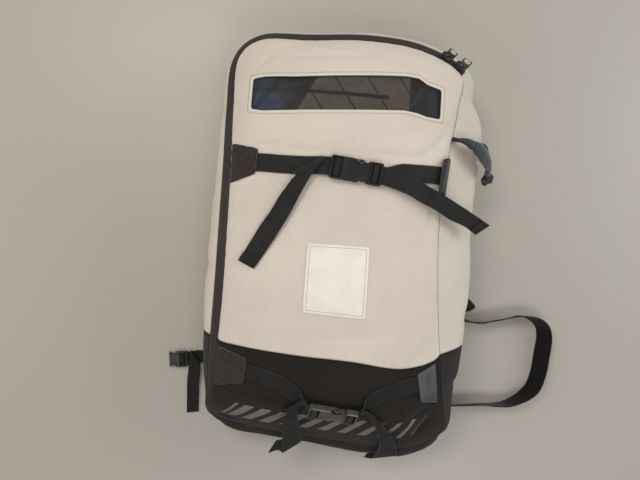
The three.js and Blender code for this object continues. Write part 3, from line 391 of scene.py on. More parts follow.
CREASES = [
    # x, y, turn in degrees, half length, half width, depth; a negative depth stands up
    (-118, 172, 14, 34, 5, 1.6), (-120, 104, -22, 40, 6, 1.8), (-92, 176, 2, 46, 7, -1.2),
    (-60, 160, 3, 60, 6, 1.4), (72, 164, -3, 55, 6, 1.3), (132, 172, 20, 30, 6, 1.6),
    (140, 108, -34, 38, 6, 1.7), (98, 108, -16, 50, 8, -1.2), (150, 60, 72, 46, 7, 1.5),
    (158, -40, 84, 60, 8, 1.3), (-176, 40, 88, 70, 9, 1.1), (-150, -120, 70, 60, 9, 1.2),
    (60, 196, 10, 60, 10, 1.0), (-60, 326, 4, 60, 8, 1.2), (90, 330, -12, 50, 9, 1.3),
    (-150, 318, 48, 30, 7, 1.4), (150, -168, 64, 34, 7, 1.4), (20, -150, 4, 90, 12, 1.0),
    (-84, 12, 52, 54, 10, 0.9), (84, -96, -58, 60, 11, 1.0), (-104, -270, -5, 26, 6, 1.8),
    (-108, -282, -8, 34, 7, -1.2), (158, -292, 48, 34, 7, 2.0), (172, -318, 62, 30, 6, 2.2),
    (-190, -333, -14, 18, 3.2, 2.4), (60, -328, -4, 90, 9, 1.1), (-90, -318, 5, 50, 8, 1.2),
    (30, -215, 2, 90, 10, 1.1), (-170, -290, 84, 40, 7, 1.1), (150, 190, 40, 26, 6, 1.8),
    (152, 92, 80, 26, 5, 1.8), (120, 214, 20, 30, 8, 1.3), (152, -170, 80, 20, 4, 1.6),
    (118, -174, 96, 22, 5, 1.2), (172, -160, 74, 26, 4, 1.8), (58, -170, 92, 20, 6, 0.9),
    (-150, -152, 84, 26, 5, 1.3), (-104, -160, 97, 20, 5, 1.0), (160, 20, 82, 40, 6, -1.0),
    (164, 214, 62, 26, 5, 1.5),
]


def lumpy(points, lumps):
    return sum(high * wavy(points, long, seed) for high, long, seed in lumps)


def turned_in(distance):
    """How far a panel's edge has dropped into its seam, at a distance from the seam."""
    x = np.clip(1 - distance / SEAM_ROUND, 0, 1)
    return SEAM_ROUND * (1 - np.sqrt(np.maximum(0, 1 - x * x * 0.96)))


def puckers(run, distance, seed):
    """Small waves along a seam; run is the length along it."""
    drift = np.array([noise.noise(Vector((r / 70, seed * 7.7, 0))) for r in run])
    turns = 2 * math.pi * run
    wave = np.sin(turns / PUCKER_LONG + 5 * drift) + 0.35 * np.sin(turns / PUCKER_SHORT + 11 * drift)
    return PUCKER * (0.45 + 0.9 * np.abs(drift)) * wave * np.exp(-distance / PUCKER_REACH) * fade(distance, 2)


FRONT_WIDE, FRONT_LONG = 385, 700
HOLD_ALONG, HOLD_ACROSS = 14, 12  # how softly a strap's hold ends
PRESSED = [
    # x, y, turn in degrees, half length, half width: where straps and buckles hold the cloth down
    (-70, 136, 0, 95, 15), (100, 138, 0, 75, 15), (12, 133, -6, 46, 20), (-112, -231, -12, 52, 15),
    (108, -236, 14, 56, 15), (-66, -257, -27, 30, 15), (70, -258, 22, 30, 15), (4, -286, -8, 58, 22),
]


def pressed(x, y):
    hold = 0 * x
    for held_x, held_y, turn, long, wide in PRESSED:
        a, b = along_across(x, y, held_x, held_y, turn)
        hold = np.maximum(hold, fade(long + HOLD_ALONG - np.abs(a), HOLD_ALONG)
                          * fade(wide + HOLD_ACROSS - np.abs(b), HOLD_ACROSS))
    return hold


def stuffed_front(u, v):
    """The visible front: the plain surface with its lumps, creases, puckers and turned edges."""
    p, n = front_point(u, v), front_normal(u, v)
    seams = [
        # distance from the seam, place along it, how strongly it puckers, how far it turns in
        (u * FRONT_WIDE, v * FRONT_LONG, 0.3, 1), ((1 - u) * FRONT_WIDE, v * FRONT_LONG, 0.3, 1.5),
        (v * FRONT_LONG, u * FRONT_WIDE, 0.2, 0.35), ((1 - v) * FRONT_LONG, u * FRONT_WIDE, 0.3, 1),
    ]
    lift = lumpy(p, FRONT_LUMPS)
    rim = fade(np.minimum(np.minimum(u, 1 - u) * FRONT_WIDE, np.minimum(v, 1 - v) * FRONT_LONG), 30)
    rim = rim * (1 - 0.92 * pressed(p[:, 0], p[:, 1]))
    lift = lift * rim - CREASE_DEPTH * folded(p[:, 0], p[:, 1], CREASES) * rim
    for seed, (distance, run, drawn, turned) in enumerate(seams, 1):
        lift += drawn * puckers(run, distance, seed) - turned * turned_in(distance)
    return p + n * lift[:, None]


def front_place(x, y):
    """u and v of the front above places on the floor, by Newton steps."""
    x, y = np.asarray(x, float), np.asarray(y, float)
    u, v = (x + 205) / 400, (y + 365) / 725
    for _ in range(7):
        u, v = np.clip(u, 0.002, 0.998), np.clip(v, 0.002, 0.998)
        p = front_point(u, v)
        du, dv = (front_point(u + 1e-3, v) - p) / 1e-3, (front_point(u, v + 1e-3) - p) / 1e-3
        ex, ey = x - p[..., 0], y - p[..., 1]
        area = du[..., 0] * dv[..., 1] - du[..., 1] * dv[..., 0]
        u = u + (ex * dv[..., 1] - ey * dv[..., 0]) / area
        v = v + (ey * du[..., 0] - ex * du[..., 1]) / area
    return np.clip(u, 0, 1), np.clip(v, 0, 1)


def on_front(x, y, lift=0.0):
    """Points above the visible front at places seen from above."""
    x, y = np.broadcast_arrays(np.asarray(x, float), np.asarray(y, float))
    u, v = front_place(x.ravel(), y.ravel())
    z = stuffed_front(u, v)[:, 2]
    return np.stack([x.ravel(), y.ravel(), z + np.broadcast_to(lift, x.shape).ravel()], -1)


print("front above the upper buckle:", on_front(12, 133).round(1).tolist())

# %% [markdown]
# ## Shader maths as plain sums
# A material is easier to read as an expression than as a picture of nodes. Wire stands for one socket, and
# sums with it add Math nodes. Paint holds one material: node() adds any other node, and colour() and
# height() finish the surface.

# %% Wire and Paint
class Wire:
    """One socket on its way through a material."""

    def __init__(self, paint, socket):
        self.paint, self.socket = paint, socket

    def maths(self, operation, *values):
        return self.paint.node("ShaderNodeMath", {"operation": operation}, dict(enumerate(values)))

    def __add__(self, other):
        return self.maths("ADD", self, other)

    def __sub__(self, other):
        return self.maths("SUBTRACT", self, other)

    def __rsub__(self, other):
        return self.maths("SUBTRACT", other, self)

    def __mul__(self, other):
        return self.maths("MULTIPLY", self, other)

    def __truediv__(self, other):
        return self.maths("DIVIDE", self, other)

    def __abs__(self):
        return self.maths("ABSOLUTE", self)

    __radd__, __rmul__ = __add__, __mul__

    def sine(self):
        return self.maths("SINE", self)

    def ramp(self, low, high):
        """0 below low, 1 above high and smooth between them."""
        return self.paint.node(
            "ShaderNodeMapRange", {"interpolation_type": "SMOOTHSTEP"},
            {"Value": self, "From Min": low, "From Max": high}
        )


class Paint:
    """One material while it is being mixed."""

    def __init__(self, name, roughness=0.8, metallic=0.0, sheen=0.0, coat=0.0, specular=0.5):
        self.material = bpy.data.materials.new(name)
        self.material.use_nodes = True
        self.tree = self.material.node_tree
        self.shader = self.tree.nodes["Principled BSDF"]
        fixed = {"Roughness": roughness, "Metallic": metallic, "Sheen Weight": sheen, "Sheen Roughness": 0.5,
                 "Coat Weight": coat, "Coat Roughness": 0.3, "Specular IOR Level": specular}
        for socket, value in fixed.items():
            self.shader.inputs[socket].default_value = value

    def node(self, kind, settings=None, inputs=None, output=0):
        new = self.tree.nodes.new(kind)
        for key, value in (settings or {}).items():
            setattr(new, key, value)
        for key, value in (inputs or {}).items():
            if isinstance(value, Wire):
                self.tree.links.new(value.socket, new.inputs[key])
            else:
                new.inputs[key].default_value = value
        return Wire(self, new.outputs[output])

    def cloth_uv(self):
        """The piece's own coordinates in metres of cloth."""
        return self.node("ShaderNodeUVMap", {"uv_map": "cloth"})

    def place(self):
        return self.node("ShaderNodeTexCoord", output=3)

    def near_edge(self, low, high):
        """1 at the edge of a sheet, and 0 from high mm inwards."""
        return 1 - self.node("ShaderNodeAttribute", {"attribute_name": "edge"}, output=2).ramp(low, high)

    def parts(self, vector):
        split = self.node("ShaderNodeSeparateXYZ", inputs={0: vector})
        return [Wire(self, split.socket.node.outputs[k]) for k in range(3)]

    def noise(self, vector, size, detail=3.0, rough=0.55):
        """Noise between 0 and 1 with blotches about size mm across."""
        return self.node("ShaderNodeTexNoise", inputs={
            "Vector": vector, "Scale": 1 / (size * MM), "Detail": detail, "Roughness": rough})

    def mix(self, factor, a, b):
        return self.node("ShaderNodeMix", {"data_type": "RGBA"}, {0: factor, 6: a, 7: b}, output=2)

    def colour(self, wire):
        self.tree.links.new(wire.socket, self.shader.inputs["Base Color"])

    def rough(self, wire):
        self.tree.links.new(wire.socket, self.shader.inputs["Roughness"])

    def height(self, wire, distance, strength=1.0):
        """Bump: wire is a height between 0 and 1, distance what 1 stands for in mm."""
        sockets = {"Height": wire, "Distance": distance * MM, "Strength": strength}
        bump = self.node("ShaderNodeBump", inputs=sockets)
        self.tree.links.new(bump.socket, self.shader.inputs["Normal"])


def srgb(red, green, blue):
    """A colour as a picture editor shows it, 0 to 255, as the linear colour that a shader wants."""
    def linear(c):
        c /= 255
        return c / 12.92 if c <= 0.04045 else ((c + 0.055) / 1.055) ** 2.4
    return (linear(red), linear(green), linear(blue), 1.0)


# %% [markdown]
# ## The cloths
# The stone and the black cloth are the same kind: polyester in a plain weave, about two threads a
# millimetre. Seen from a metre away the weave only roughens the light, and what the eye finds are slow
# changes of tone. So each cloth has a weave for its bump, and two sizes of blotches for its colour. The weave
# also darkens the colour a little as painted shade, and painted shade darkens the cloth near each seam.

# %% Woven cloth
THREAD, WEAVE_DEEP = 0.62, 0.16  # mm between threads, and the height of the weave


def weave(paint, uv, pitch):
    """A plain weave: each thread rises where the other one dips."""
    x, y, _ = paint.parts(uv)
    turns = 2 * math.pi / (pitch * MM)
    over, under = (x * turns).sine(), (y * turns).sine()
    return over * under * 0.5 + 0.5


def woven(name, light, dark, seam_shade, roughness=0.82, sheen=0.12, specular=0.35, seam=0.75, printed=None):
    paint = Paint(name, roughness=roughness, sheen=sheen, specular=specular)
    place, threads = paint.place(), weave(paint, paint.cloth_uv(), THREAD)
    tone = paint.noise(place, 140, 2) * 0.7 + paint.noise(place, 9, 4) * 0.3
    cloth = paint.mix(tone.ramp(0.25, 0.75), dark, light)
    # The weave also darkens the colour a little: painted shade between the threads.
    cloth = paint.mix(threads * 0.22, cloth, dark)
    if printed:
        cloth = printed(paint, cloth)
    # Near each edge the colour is mixed towards the third tone: painted shade where the cloth turns into its
    # seam.
    paint.colour(paint.mix(paint.near_edge(0.15, 2.4) * seam, cloth, seam_shade))
    paint.height(threads * 0.8 + paint.noise(place, 1.6, 2) * 0.4, WEAVE_DEEP)
    return paint.material


# Each cloth's tones: light, dark, and the painted seam shade that darkens it near its edges.
STONE_TONES = srgb(208, 197, 184), srgb(197, 186, 173), srgb(112, 98, 84)
BLACK_TONES = srgb(34, 28, 23), srgb(25, 20, 17), srgb(8, 7, 7)
STONE = woven("stone cloth", *STONE_TONES)
BLACK = woven("black cloth", *BLACK_TONES, roughness=0.8, sheen=0.08, specular=0.16)

# %% [markdown]
# ## The floor, the light and the camera
# The photograph was taken from above with a phone, about a metre over the floor, under wide ceiling lights.
# The camera looks straight down and is turned by four degrees, which leans the bag as the picture shows it.

# %% Stage
CAMERA_PLACE = (-0.0391, 0.0143, 1.030)
CAMERA_TURN = 4.0
LENS, SENSOR = 27.0, 36.0

camera = bpy.data.objects.new("camera", bpy.data.cameras.new("camera"))
camera.data.lens, camera.data.sensor_width = LENS, SENSOR
camera.location, camera.rotation_euler = CAMERA_PLACE, (0, 0, math.radians(CAMERA_TURN))
bpy.context.scene.collection.objects.link(camera)
bpy.context.scene.camera = camera
bpy.context.scene.view_settings.view_transform = "Standard"


def lamp(name, place, aim, size, power, tint=(1, 1, 1)):
    light = bpy.data.lights.new(name, "AREA")
    light.shape, light.size, light.size_y, light.energy, light.color = "RECTANGLE", *size, power, tint
    lit = bpy.data.objects.new(name, light)
    lit.location = place
    lit.rotation_euler = (Vector(aim) - Vector(place)).to_track_quat("-Z", "Y").to_euler()
    bpy.context.scene.collection.objects.link(lit)
    return lit


lamp("ceiling panel", (-0.9, 1.0, 2.1), (0, 0, 0), (1.0, 0.7), 23.5, (1.0, 0.945, 0.89))
lamp("second panel", (0.5, -1.2, 2.3), (0, 0, 0), (1.0, 0.7), 16, (1.0, 0.99, 0.97))
lamp("right side", (2.1, 0.7, 1.2), (0.1, 0, 0.1), (1.2, 1.2), 24, (0.95, 0.99, 1.0))
lamp("left side", (-2.3, -0.3, 1.1), (-0.1, 0, 0.1), (1.2, 1.2), 10, (1.0, 0.95, 0.9))
world = bpy.data.worlds.new("room")
world.use_nodes = True
world.node_tree.nodes["Background"].inputs["Color"].default_value = (0.86, 0.88, 0.9, 1)
world.node_tree.nodes["Background"].inputs["Strength"].default_value = 0.44
bpy.context.scene.world = world

floor_paint = Paint("pale floor", roughness=0.42, specular=0.4)
floor_paint.shader.inputs["Base Color"].default_value = srgb(166, 160, 150)
floor_mesh = bmesh.new()
bmesh.ops.create_grid(floor_mesh, x_segments=1, y_segments=1, size=6)
floor_data = bpy.data.meshes.new("floor")
floor_mesh.to_mesh(floor_data)
floor_mesh.free()
floor_data.materials.append(floor_paint.material)
floor = bpy.data.objects.new("floor", floor_data)
bpy.context.scene.collection.objects.link(floor)
print("camera", round(CAMERA_PLACE[2], 2), "m above the floor")

# %% [markdown]
# ## The front panel and its window
# The pale front is one sheet of cloth. Its window is cut out after the sheet is shaped: cells inside the
# window's outline are deleted, and the edge that is left is pulled onto the outline. A turned hem hides the
# raw edge later.

# %% The window's outline
WINDOW = [
    # x, lower edge, upper edge
    (-171, 226, 279), (-150, 223, 283), (-98, 226, 284), (-5, 233, 293), (88, 241, 301), (110, 239, 300),
    (126, 235, 291), (152, 234, 286),
]
WINDOW_CORNER = 5


def rounded(corners, radius, steps=6):
    """A polygon with its sharp corners rounded."""
    corners, points = np.asarray(corners, float), []
    for k, corner in enumerate(corners):
        before, after = corners[k - 1] - corner, corners[(k + 1) % len(corners)] - corner
        turn = math.acos(np.clip(np.dot(unit(before), unit(after)), -1, 1))
        if turn > math.radians(140):
            points.append(corner)
            continue
        reach = min(radius, np.linalg.norm(before) * 0.45, np.linalg.norm(after) * 0.45)
        a, b = corner + unit(before) * reach, corner + unit(after) * reach
        for t in np.linspace(0, 1, steps):
            points.append((1 - t) ** 2 * a + 2 * t * (1 - t) * corner + t * t * b)
    return np.array(points)


def evenly(points, count, closed=True):
    """The same line with its points an even distance apart."""
    points = np.vstack([points, points[:1]]) if closed else np.asarray(points, float)
    run = np.concatenate([[0], np.cumsum(np.linalg.norm(np.diff(points, axis=0), axis=1))])
    goals = np.linspace(0, run[-1], count + 1)[:-1] if closed else np.linspace(0, run[-1], count)
    return np.stack([np.interp(goals, run, points[:, k]) for k in range(points.shape[1])], -1)


def sideways(line, distance, closed=True):
    """A flat line moved sideways, to its right for a positive distance."""
    if closed:
        d = np.roll(line, -1, 0) - np.roll(line, 1, 0)
    else:
        d = np.gradient(line, axis=0)
    d = unit(d[:, :2])
    moved = np.array(line, float)
    moved[:, 0] += d[:, 1] * distance
    moved[:, 1] -= d[:, 0] * distance
    return moved


window_corners = [(x, low) for x, low, high in WINDOW] + [(x, high) for x, low, high in reversed(WINDOW)]
window_line = evenly(rounded(window_corners, WINDOW_CORNER), 360)


def inside(line, x, y):
    """Which points lie inside a closed flat line."""
    a, b = line, np.roll(line, -1, 0)
    found = np.zeros(len(x), bool)
    for (ax, ay), (bx, by) in zip(a, b):
        if ay != by:
            cross = (ay > y) != (by > y)
            found ^= cross & (x < (bx - ax) * (y - ay) / (by - ay) + ax)
    return found


print("window:", np.ptp(window_line, axis=0).round().tolist(), "mm")

# %% The pale front
SEAM_GAP = 0.35
UPPER_LONG = 530  # mm of pale cloth from the base to the top seam
HOLE_CATCH = 9  # how far from the window's outline a loose edge is still pulled onto it
U_GAP, V_GAP = SEAM_GAP / 2 / FRONT_WIDE, SEAM_GAP / 2 / FRONT_LONG


def upper_place(u, v):
    start = base_seam(u) + V_GAP
    return U_GAP + (1 - 2 * U_GAP) * u, start + (1 - V_GAP - start) * v


def upper_surface(u, v):
    fu, fv = upper_place(u, v)
    points = stuffed_front(fu, fv)
    foot = (fv - base_seam(u)) * FRONT_LONG
    lift = puckers(u * FRONT_WIDE, foot, 5) * 0.7 - turned_in(foot)
    return points + front_normal(fu, fv) * lift[:, None]


CELL, SEAM_CELL = 3.6, 0.6
bm = new_grid(marks(FRONT_WIDE, CELL, SEAM_CELL), marks(UPPER_LONG, CELL, SEAM_CELL), upper_surface,
              (FRONT_WIDE, UPPER_LONG))
centres = np.array([face.calc_center_median()[:2] for face in bm.faces]) / MM
gone = inside(window_line, centres[:, 0], centres[:, 1])
bmesh.ops.delete(bm, geom=[face for face, cut in zip(bm.faces, gone) if cut], context="FACES")
edge = [v for v in bm.verts if v.is_boundary]
edge_x, edge_y = np.array([v.co[:2] for v in edge]).T / MM
hole = [v for v, near in zip(edge, inside(sideways(window_line, HOLE_CATCH), edge_x, edge_y)) if near]
for v in hole:
    gap = window_line - np.array(v.co[:2]) / MM
    x, y = window_line[np.argmin((gap ** 2).sum(1))]
    v.co = on_front(x, y)[0] * MM
front_upper = thicken(finish_piece("front_upper_cloth", bm, STONE, ["front_upper"]), CLOTH)

# %% [markdown]
# ## The black base
# The base is a second panel below the pale one. A row of plain slanted bars is printed on it. They follow
# the base's own cloth, so they bend with it, and the straps' tails lie over them.

# %% The black base of the front
def base_surface(u, v):
    fu = U_GAP + (1 - 2 * U_GAP) * u
    end = base_seam(fu) - V_GAP
    fv = V_GAP + (end - V_GAP) * v
    foot = (base_seam(fu) - fv) * FRONT_LONG
    lift = puckers(fu * FRONT_WIDE, foot, 6) * 0.7 - turned_in(foot)
    return stuffed_front(fu, fv) + front_normal(fu, fv) * lift[:, None]


BASE_WIDE, BASE_LONG = 430, 215
PRINT_LEFT, PRINT_RIGHT, PRINT_FOOT, PRINT_TOP = 62, 396, 60, 112  # mm of the base's own cloth
BAR_PITCH, BAR_SLANT = 27, 0.6


def bars(paint, cloth):
    """Slanted bars that grow thinner to the right, a little worn."""
    x, y, _ = paint.parts(paint.cloth_uv())
    x, y = x * 1000, y * 1000
    along = x - (y - PRINT_FOOT) * BAR_SLANT
    thin = x / 260 - 0.75
    bar = ((along * (2 * math.pi / BAR_PITCH)).sine() - thin).ramp(-0.04, 0.04)
    band = (y - PRINT_FOOT).ramp(-0.4, 0.4) * (1 - (y - PRINT_TOP).ramp(-0.4, 0.4))
    ends = (along - PRINT_LEFT).ramp(-0.4, 0.4) * (1 - (along - PRINT_RIGHT + 40).ramp(-0.4, 0.4))
    wear = 1 - paint.noise(paint.place(), 2.2, 4, 0.7).ramp(0.62, 0.74) * 0.5
    return paint.mix(bar * band * ends * wear, cloth, srgb(112, 105, 98))


BASE = woven("printed black cloth", *BLACK_TONES, roughness=0.8, sheen=0.08, specular=0.16, printed=bars)
bm = new_grid(marks(FRONT_WIDE, 3.8, 0.6), marks(BASE_LONG, 3.8, 0.6), base_surface, (BASE_WIDE, BASE_LONG))
front_base = thicken(finish_piece("front_base_cloth", bm, BASE, ["front_base"]), CLOTH)

# %% [markdown]
# ## The zip and the walls
# The zip runs up the left side and over the top, sewn between the front and the wall. It is the coated kind
# whose coil is on the inside: from outside only two smooth tapes show, which meet in the middle. It narrows
# where it dives into the seam at its lower end. The walls start where the zip ends and run down to the
# floor.

# %% How wide the zip is
ZIP_START, ZIP_FULL, ZIP_END = 0.42, 1.3, 11.0
ZIP_WIDE = 28.0
BLACK_LEFT, BLACK_RIGHT = 1.572, 15.62  # stations where the wall's black part begins and ends
STATION_LONG, WALL_DOWN = 105, 262  # mm of cloth between stations, and down the wall


def zip_width(s):
    end = np.clip((ZIP_END - s) / 0.05, 0, 1)
    return ZIP_WIDE * fade(s - ZIP_START, ZIP_FULL - ZIP_START) * end * (2 - end)


def wall_top(s):
    """Where the wall starts below the front seam or the zip, as t."""
    return wall_reach(np.mod(s, AROUND), zip_width(np.mod(s, AROUND)) + SEAM_GAP / 2)


WALL_CREASES = [
    # along the outline, down the wall, half widths there, depth
    (12.2, 0.2, 0.1, 0.1, 1.8), (12.75, 0.28, 0.07, 0.2, 2.2), (13.5, 0.22, 0.1, 0.16, 1.6),
    (14.3, 0.35, 0.16, 0.1, 1.4), (15.3, 0.42, 0.1, 0.2, 1.8), (16.2, 0.3, 0.09, 0.22, 2.0),
    (2.4, 0.4, 0.1, 0.25, 1.6), (3.6, 0.5, 0.14, 0.2, 1.4), (5.1, 0.38, 0.1, 0.22, 1.5),
    (6.5, 0.45, 0.09, 0.25, 1.8), (7.4, 0.5, 0.12, 0.2, 1.5), (9.6, 0.45, 0.12, 0.22, 1.6),
    (18.5, 0.4, 0.14, 0.2, 1.6), (19.8, 0.5, 0.12, 0.2, 1.6), (21.3, 0.42, 0.1, 0.2, 1.6),
    (17.2, 0.3, 0.1, 0.2, 2.2),
]


def stuffed_wall(s, t, top, sides=()):
    """The visible wall; sides are stations where the cloth turns into a seam."""
    p, n = wall_point(s, t), wall_normal(s, t)
    from_top, from_hem = (t - top) * WALL_DOWN, (1 - t) * WALL_DOWN
    soft = fade(from_top, 24) * fade(from_hem, 30)
    lift = lumpy(p, WALL_LUMPS) * soft
    turn = np.mod(s, AROUND)
    lift -= CREASE_DEPTH * soft * sum(d * bell(turn - cs, ds) * bell(t - ct, dt) for cs, ct, ds, dt,
                                      d in WALL_CREASES)
    foot = fade(turn - FOOT_RIGHT, 0.5) * fade(AROUND - turn, 0.3)
    lift += 0.35 * puckers(s * STATION_LONG, from_top, 8) * fade(from_hem, 40)
    lift -= turned_in(from_top) * (1 - 0.65 * foot)
    for side in sides:
        lift -= turned_in(np.abs(s - side) * STATION_LONG)
    return p + n * lift[:, None]


def wall_piece(name, first, last, material, node):
    gap = SEAM_GAP / 2 / STATION_LONG
    hem = 0.002

    def surface(u, v):
        s = first + gap + (last - first - 2 * gap) * u
        top = wall_top(s)
        return stuffed_wall(s, top + (1 - hem - top) * v, top, (first, last))

    long = (last - first) * STATION_LONG
    bm = new_grid(marks(long, 5.2, 0.6), marks(WALL_DOWN, 5.0, 0.7), surface, (long, WALL_DOWN))
    piece = thicken(finish_piece(name, bm, material, [node]), CLOTH)
    long * MM


wall_piece("wall_upper_cloth", BLACK_LEFT, BLACK_RIGHT, STONE, "wall_upper")
wall_piece("wall_lower_cloth", BLACK_RIGHT, BLACK_LEFT + AROUND, BLACK,
                        "wall_lower")

# %% The zip band
ZIP_CROWN, TAPE_MEET, MEET_DEEP = 0.9, 1.1, 0.7


def zip_surface(u, v):
    s = ZIP_START + 0.02 + (ZIP_END - 0.004 - ZIP_START - 0.02) * v
    wide = np.maximum(zip_width(s) - SEAM_GAP, 0.3)
    t = wall_reach(s, SEAM_GAP / 2 + wide * u)
    p, n = wall_point(s, t), wall_normal(s, t)
    middle = (u - 0.5) * wide
    ridge = bell(np.abs(middle) - 2.6, 1.5) * 0.45 - MEET_DEEP * bell(middle, TAPE_MEET / 2)
    edge = np.minimum(u, 1 - u) * wide
    lift = ZIP_CROWN * fade(edge, 5) + ridge * fade(wide, ZIP_WIDE) - turned_in(edge) * 0.6
    lift += 0.35 * puckers(s * STATION_LONG, u * wide, 9) + 0.5 * wavy(p, 42, 10) * fade(edge, 4)
    return p + n * lift[:, None]


def coated_tape():
    paint = Paint("coated zip tape", roughness=0.6, sheen=0.04, coat=0.05, specular=0.25)
    place, uv = paint.place(), paint.cloth_uv()
    x, _, _ = paint.parts(uv)
    tone = paint.noise(place, 60, 3).ramp(0.3, 0.7)
    base = paint.mix(tone, srgb(41, 34, 29), srgb(49, 41, 36))
    meet = 1 - abs(x - ZIP_WIDE * MM / 2).ramp(0.0001, 0.0007)
    # Dark is mixed in along the line where the tapes meet and at both edges; at the edges it is painted shade
    # where the tapes dive into their seams.
    paint.colour(paint.mix(meet * 0.55 + paint.near_edge(0.1, 1.5) * 0.8, base, srgb(20, 17, 15)))
    paint.height(weave(paint, uv, 0.5) * 0.5 + paint.noise(place, 2.5, 2) * 0.6, 0.1)
    return paint.material


ZIP_TAPE = coated_tape()
zip_long = (ZIP_END - ZIP_START) * STATION_LONG
bm = new_grid(marks(ZIP_WIDE, 0.9, 0.35), marks(zip_long, 4.0, 0.8), zip_surface, (ZIP_WIDE, zip_long))
bmesh.ops.reverse_faces(bm, faces=bm.faces)
zip_band = thicken(finish_piece("zip_tapes", bm, ZIP_TAPE, ["zip_band"]), CLOTH)

# %% [markdown]
# ## The window
# Behind the opening sits a coarse dark net, and behind it the rolled kite. The net is real here: a diagonal
# grid that bmesh's wireframe operator turns into threads. Its cells are 2.6 millimetres, so the kite shows
# through as if behind smoked glass. The opening's edge is turned over and stitched, which makes a narrow rim;
# its cloth is painted a little paler than the front, as a highlight.

# %% The net
NET_CELL, NET_THREAD, NET_DEEP = 2.6, 0.72, 2.6
NET_MIDDLE, NET_HALF = (-8, 260), 156
NET_MARGIN = 7  # how far the net reaches past the opening


def net_surface(u, v):
    a, b = (2 * u - 1) * NET_HALF, (2 * v - 1) * NET_HALF
    x, y = NET_MIDDLE[0] + (a - b) * math.sqrt(0.5), NET_MIDDLE[1] + (a + b) * math.sqrt(0.5)
    near = (np.abs(y - NET_MIDDLE[1]) < 60) & (np.abs(x - NET_MIDDLE[0]) < 185)
    points = np.stack([x, y, 0 * x], -1)
    fu, fv = front_place(x[near], y[near])
    points[near] = front_point(fu, fv) - front_normal(fu, fv) * NET_DEEP
    return points


cells = round(2 * NET_HALF / NET_CELL)
even = np.linspace(0, 1, cells + 1)
bm = new_grid(even, even, net_surface, (2 * NET_HALF, 2 * NET_HALF))
net_line = sideways(window_line, NET_MARGIN)
centres = np.array([face.calc_center_median()[:2] for face in bm.faces]) / MM
keep = inside(net_line, centres[:, 0], centres[:, 1])
bmesh.ops.delete(bm, geom=[face for face, kept in zip(bm.faces, keep) if not kept], context="FACES")
bmesh.ops.wireframe(bm, faces=bm.faces, thickness=NET_THREAD * MM, offset=0.5, use_replace=True,
                    use_boundary=True, use_even_offset=True)


def net_thread():
    paint = Paint("dark net", roughness=0.55, specular=0.4)
    tone = paint.noise(paint.place(), 30, 2)
    paint.colour(paint.mix(tone, srgb(58, 54, 50), srgb(34, 32, 32)))
    return paint.material


window_mesh = finish_piece("window_net", bm, net_thread(), ["window_mesh"])
print("net of", cells, "threads a side,", len(window_mesh.data.polygons), "faces")

# %% The turned hem of the opening
HEM_WIDE, HEM_HIGH, HEM_ROUND = 4.6, 0.55, 790  # its width, height and length round the opening


def hem_surface(u, v):
    k = np.round(u * len(window_line)).astype(int) % len(window_line)
    across = HEM_WIDE * v - 0.6
    points = np.zeros((len(u), 3))
    for step in np.unique(v):
        row = v == step
        line = sideways(window_line, float(across[row][0]))
        points[row, :2] = line[k[row]]
    high = HEM_HIGH * np.sqrt(np.clip(1 - (1 - np.clip(v / 0.22, 0, 1)) ** 2, 0,
                                      1)) * (1 - 0.9 * fade(v - 0.6, 0.4))
    points = on_front(points[:, 0], points[:, 1], 0)
    points[:, 2] += high - 1.5 * (1 - fade(v, 0.12))
    return points


bm = new_grid(np.linspace(0, 1, len(window_line) + 1), np.linspace(0, 1, 12) ** 1.15, hem_surface,
              (HEM_ROUND, HEM_WIDE))
bmesh.ops.remove_doubles(bm, verts=bm.verts, dist=0.01 * MM)
bmesh.ops.recalc_face_normals(bm, faces=bm.faces)
# Paler than the stone cloth: a painted highlight on the turned edge. Its third tone is a faint painted seam
# shade.
HEM_CLOTH = woven("turned hem", srgb(218, 209, 197), srgb(206, 197, 185), srgb(150, 138, 124), seam=0.15)
window_hem = thicken(finish_piece("window_hem", bm, HEM_CLOTH), 0.8)

# %% [markdown]
# ## Webbing
# Straps are woven flat, with ribs across them. Each one here is the smooth ribbon through a few rows of its
# two edges, as a sewer would pin it at a few places and let it find its own curve. The ribs are in the
# mesh, because they show where light grazes the webbing, and the finer threads are left to the bump. A
# loose end is turned back and sewn.

# %% Ribbons through rows of edges
WEBBING, STRAP_WIDE = 1.8, 30
RIB, RIB_HIGH, THREAD_ACROSS = 4.0, 0.2, 0.9
ACROSS = np.array([0, 0.03, 0.09, 0.22, 0.4, 0.6, 0.78, 0.91, 0.97, 1])


def plain_height(x, y, lift=0.0):
    """Points above the front where the straps press it smooth."""
    u, v = front_place(x, y)
    return front_point(u, v)[..., 2] + lift


def on_cloth(rows):
    """Rows of two edges on the front: ax, ay, bx, by and the height above the cloth."""
    ax, ay, bx, by, lift = np.array(rows, float).T
    return np.stack([ax, ay, plain_height(ax, ay, lift), bx, by, plain_height(bx, by, lift)], -1)


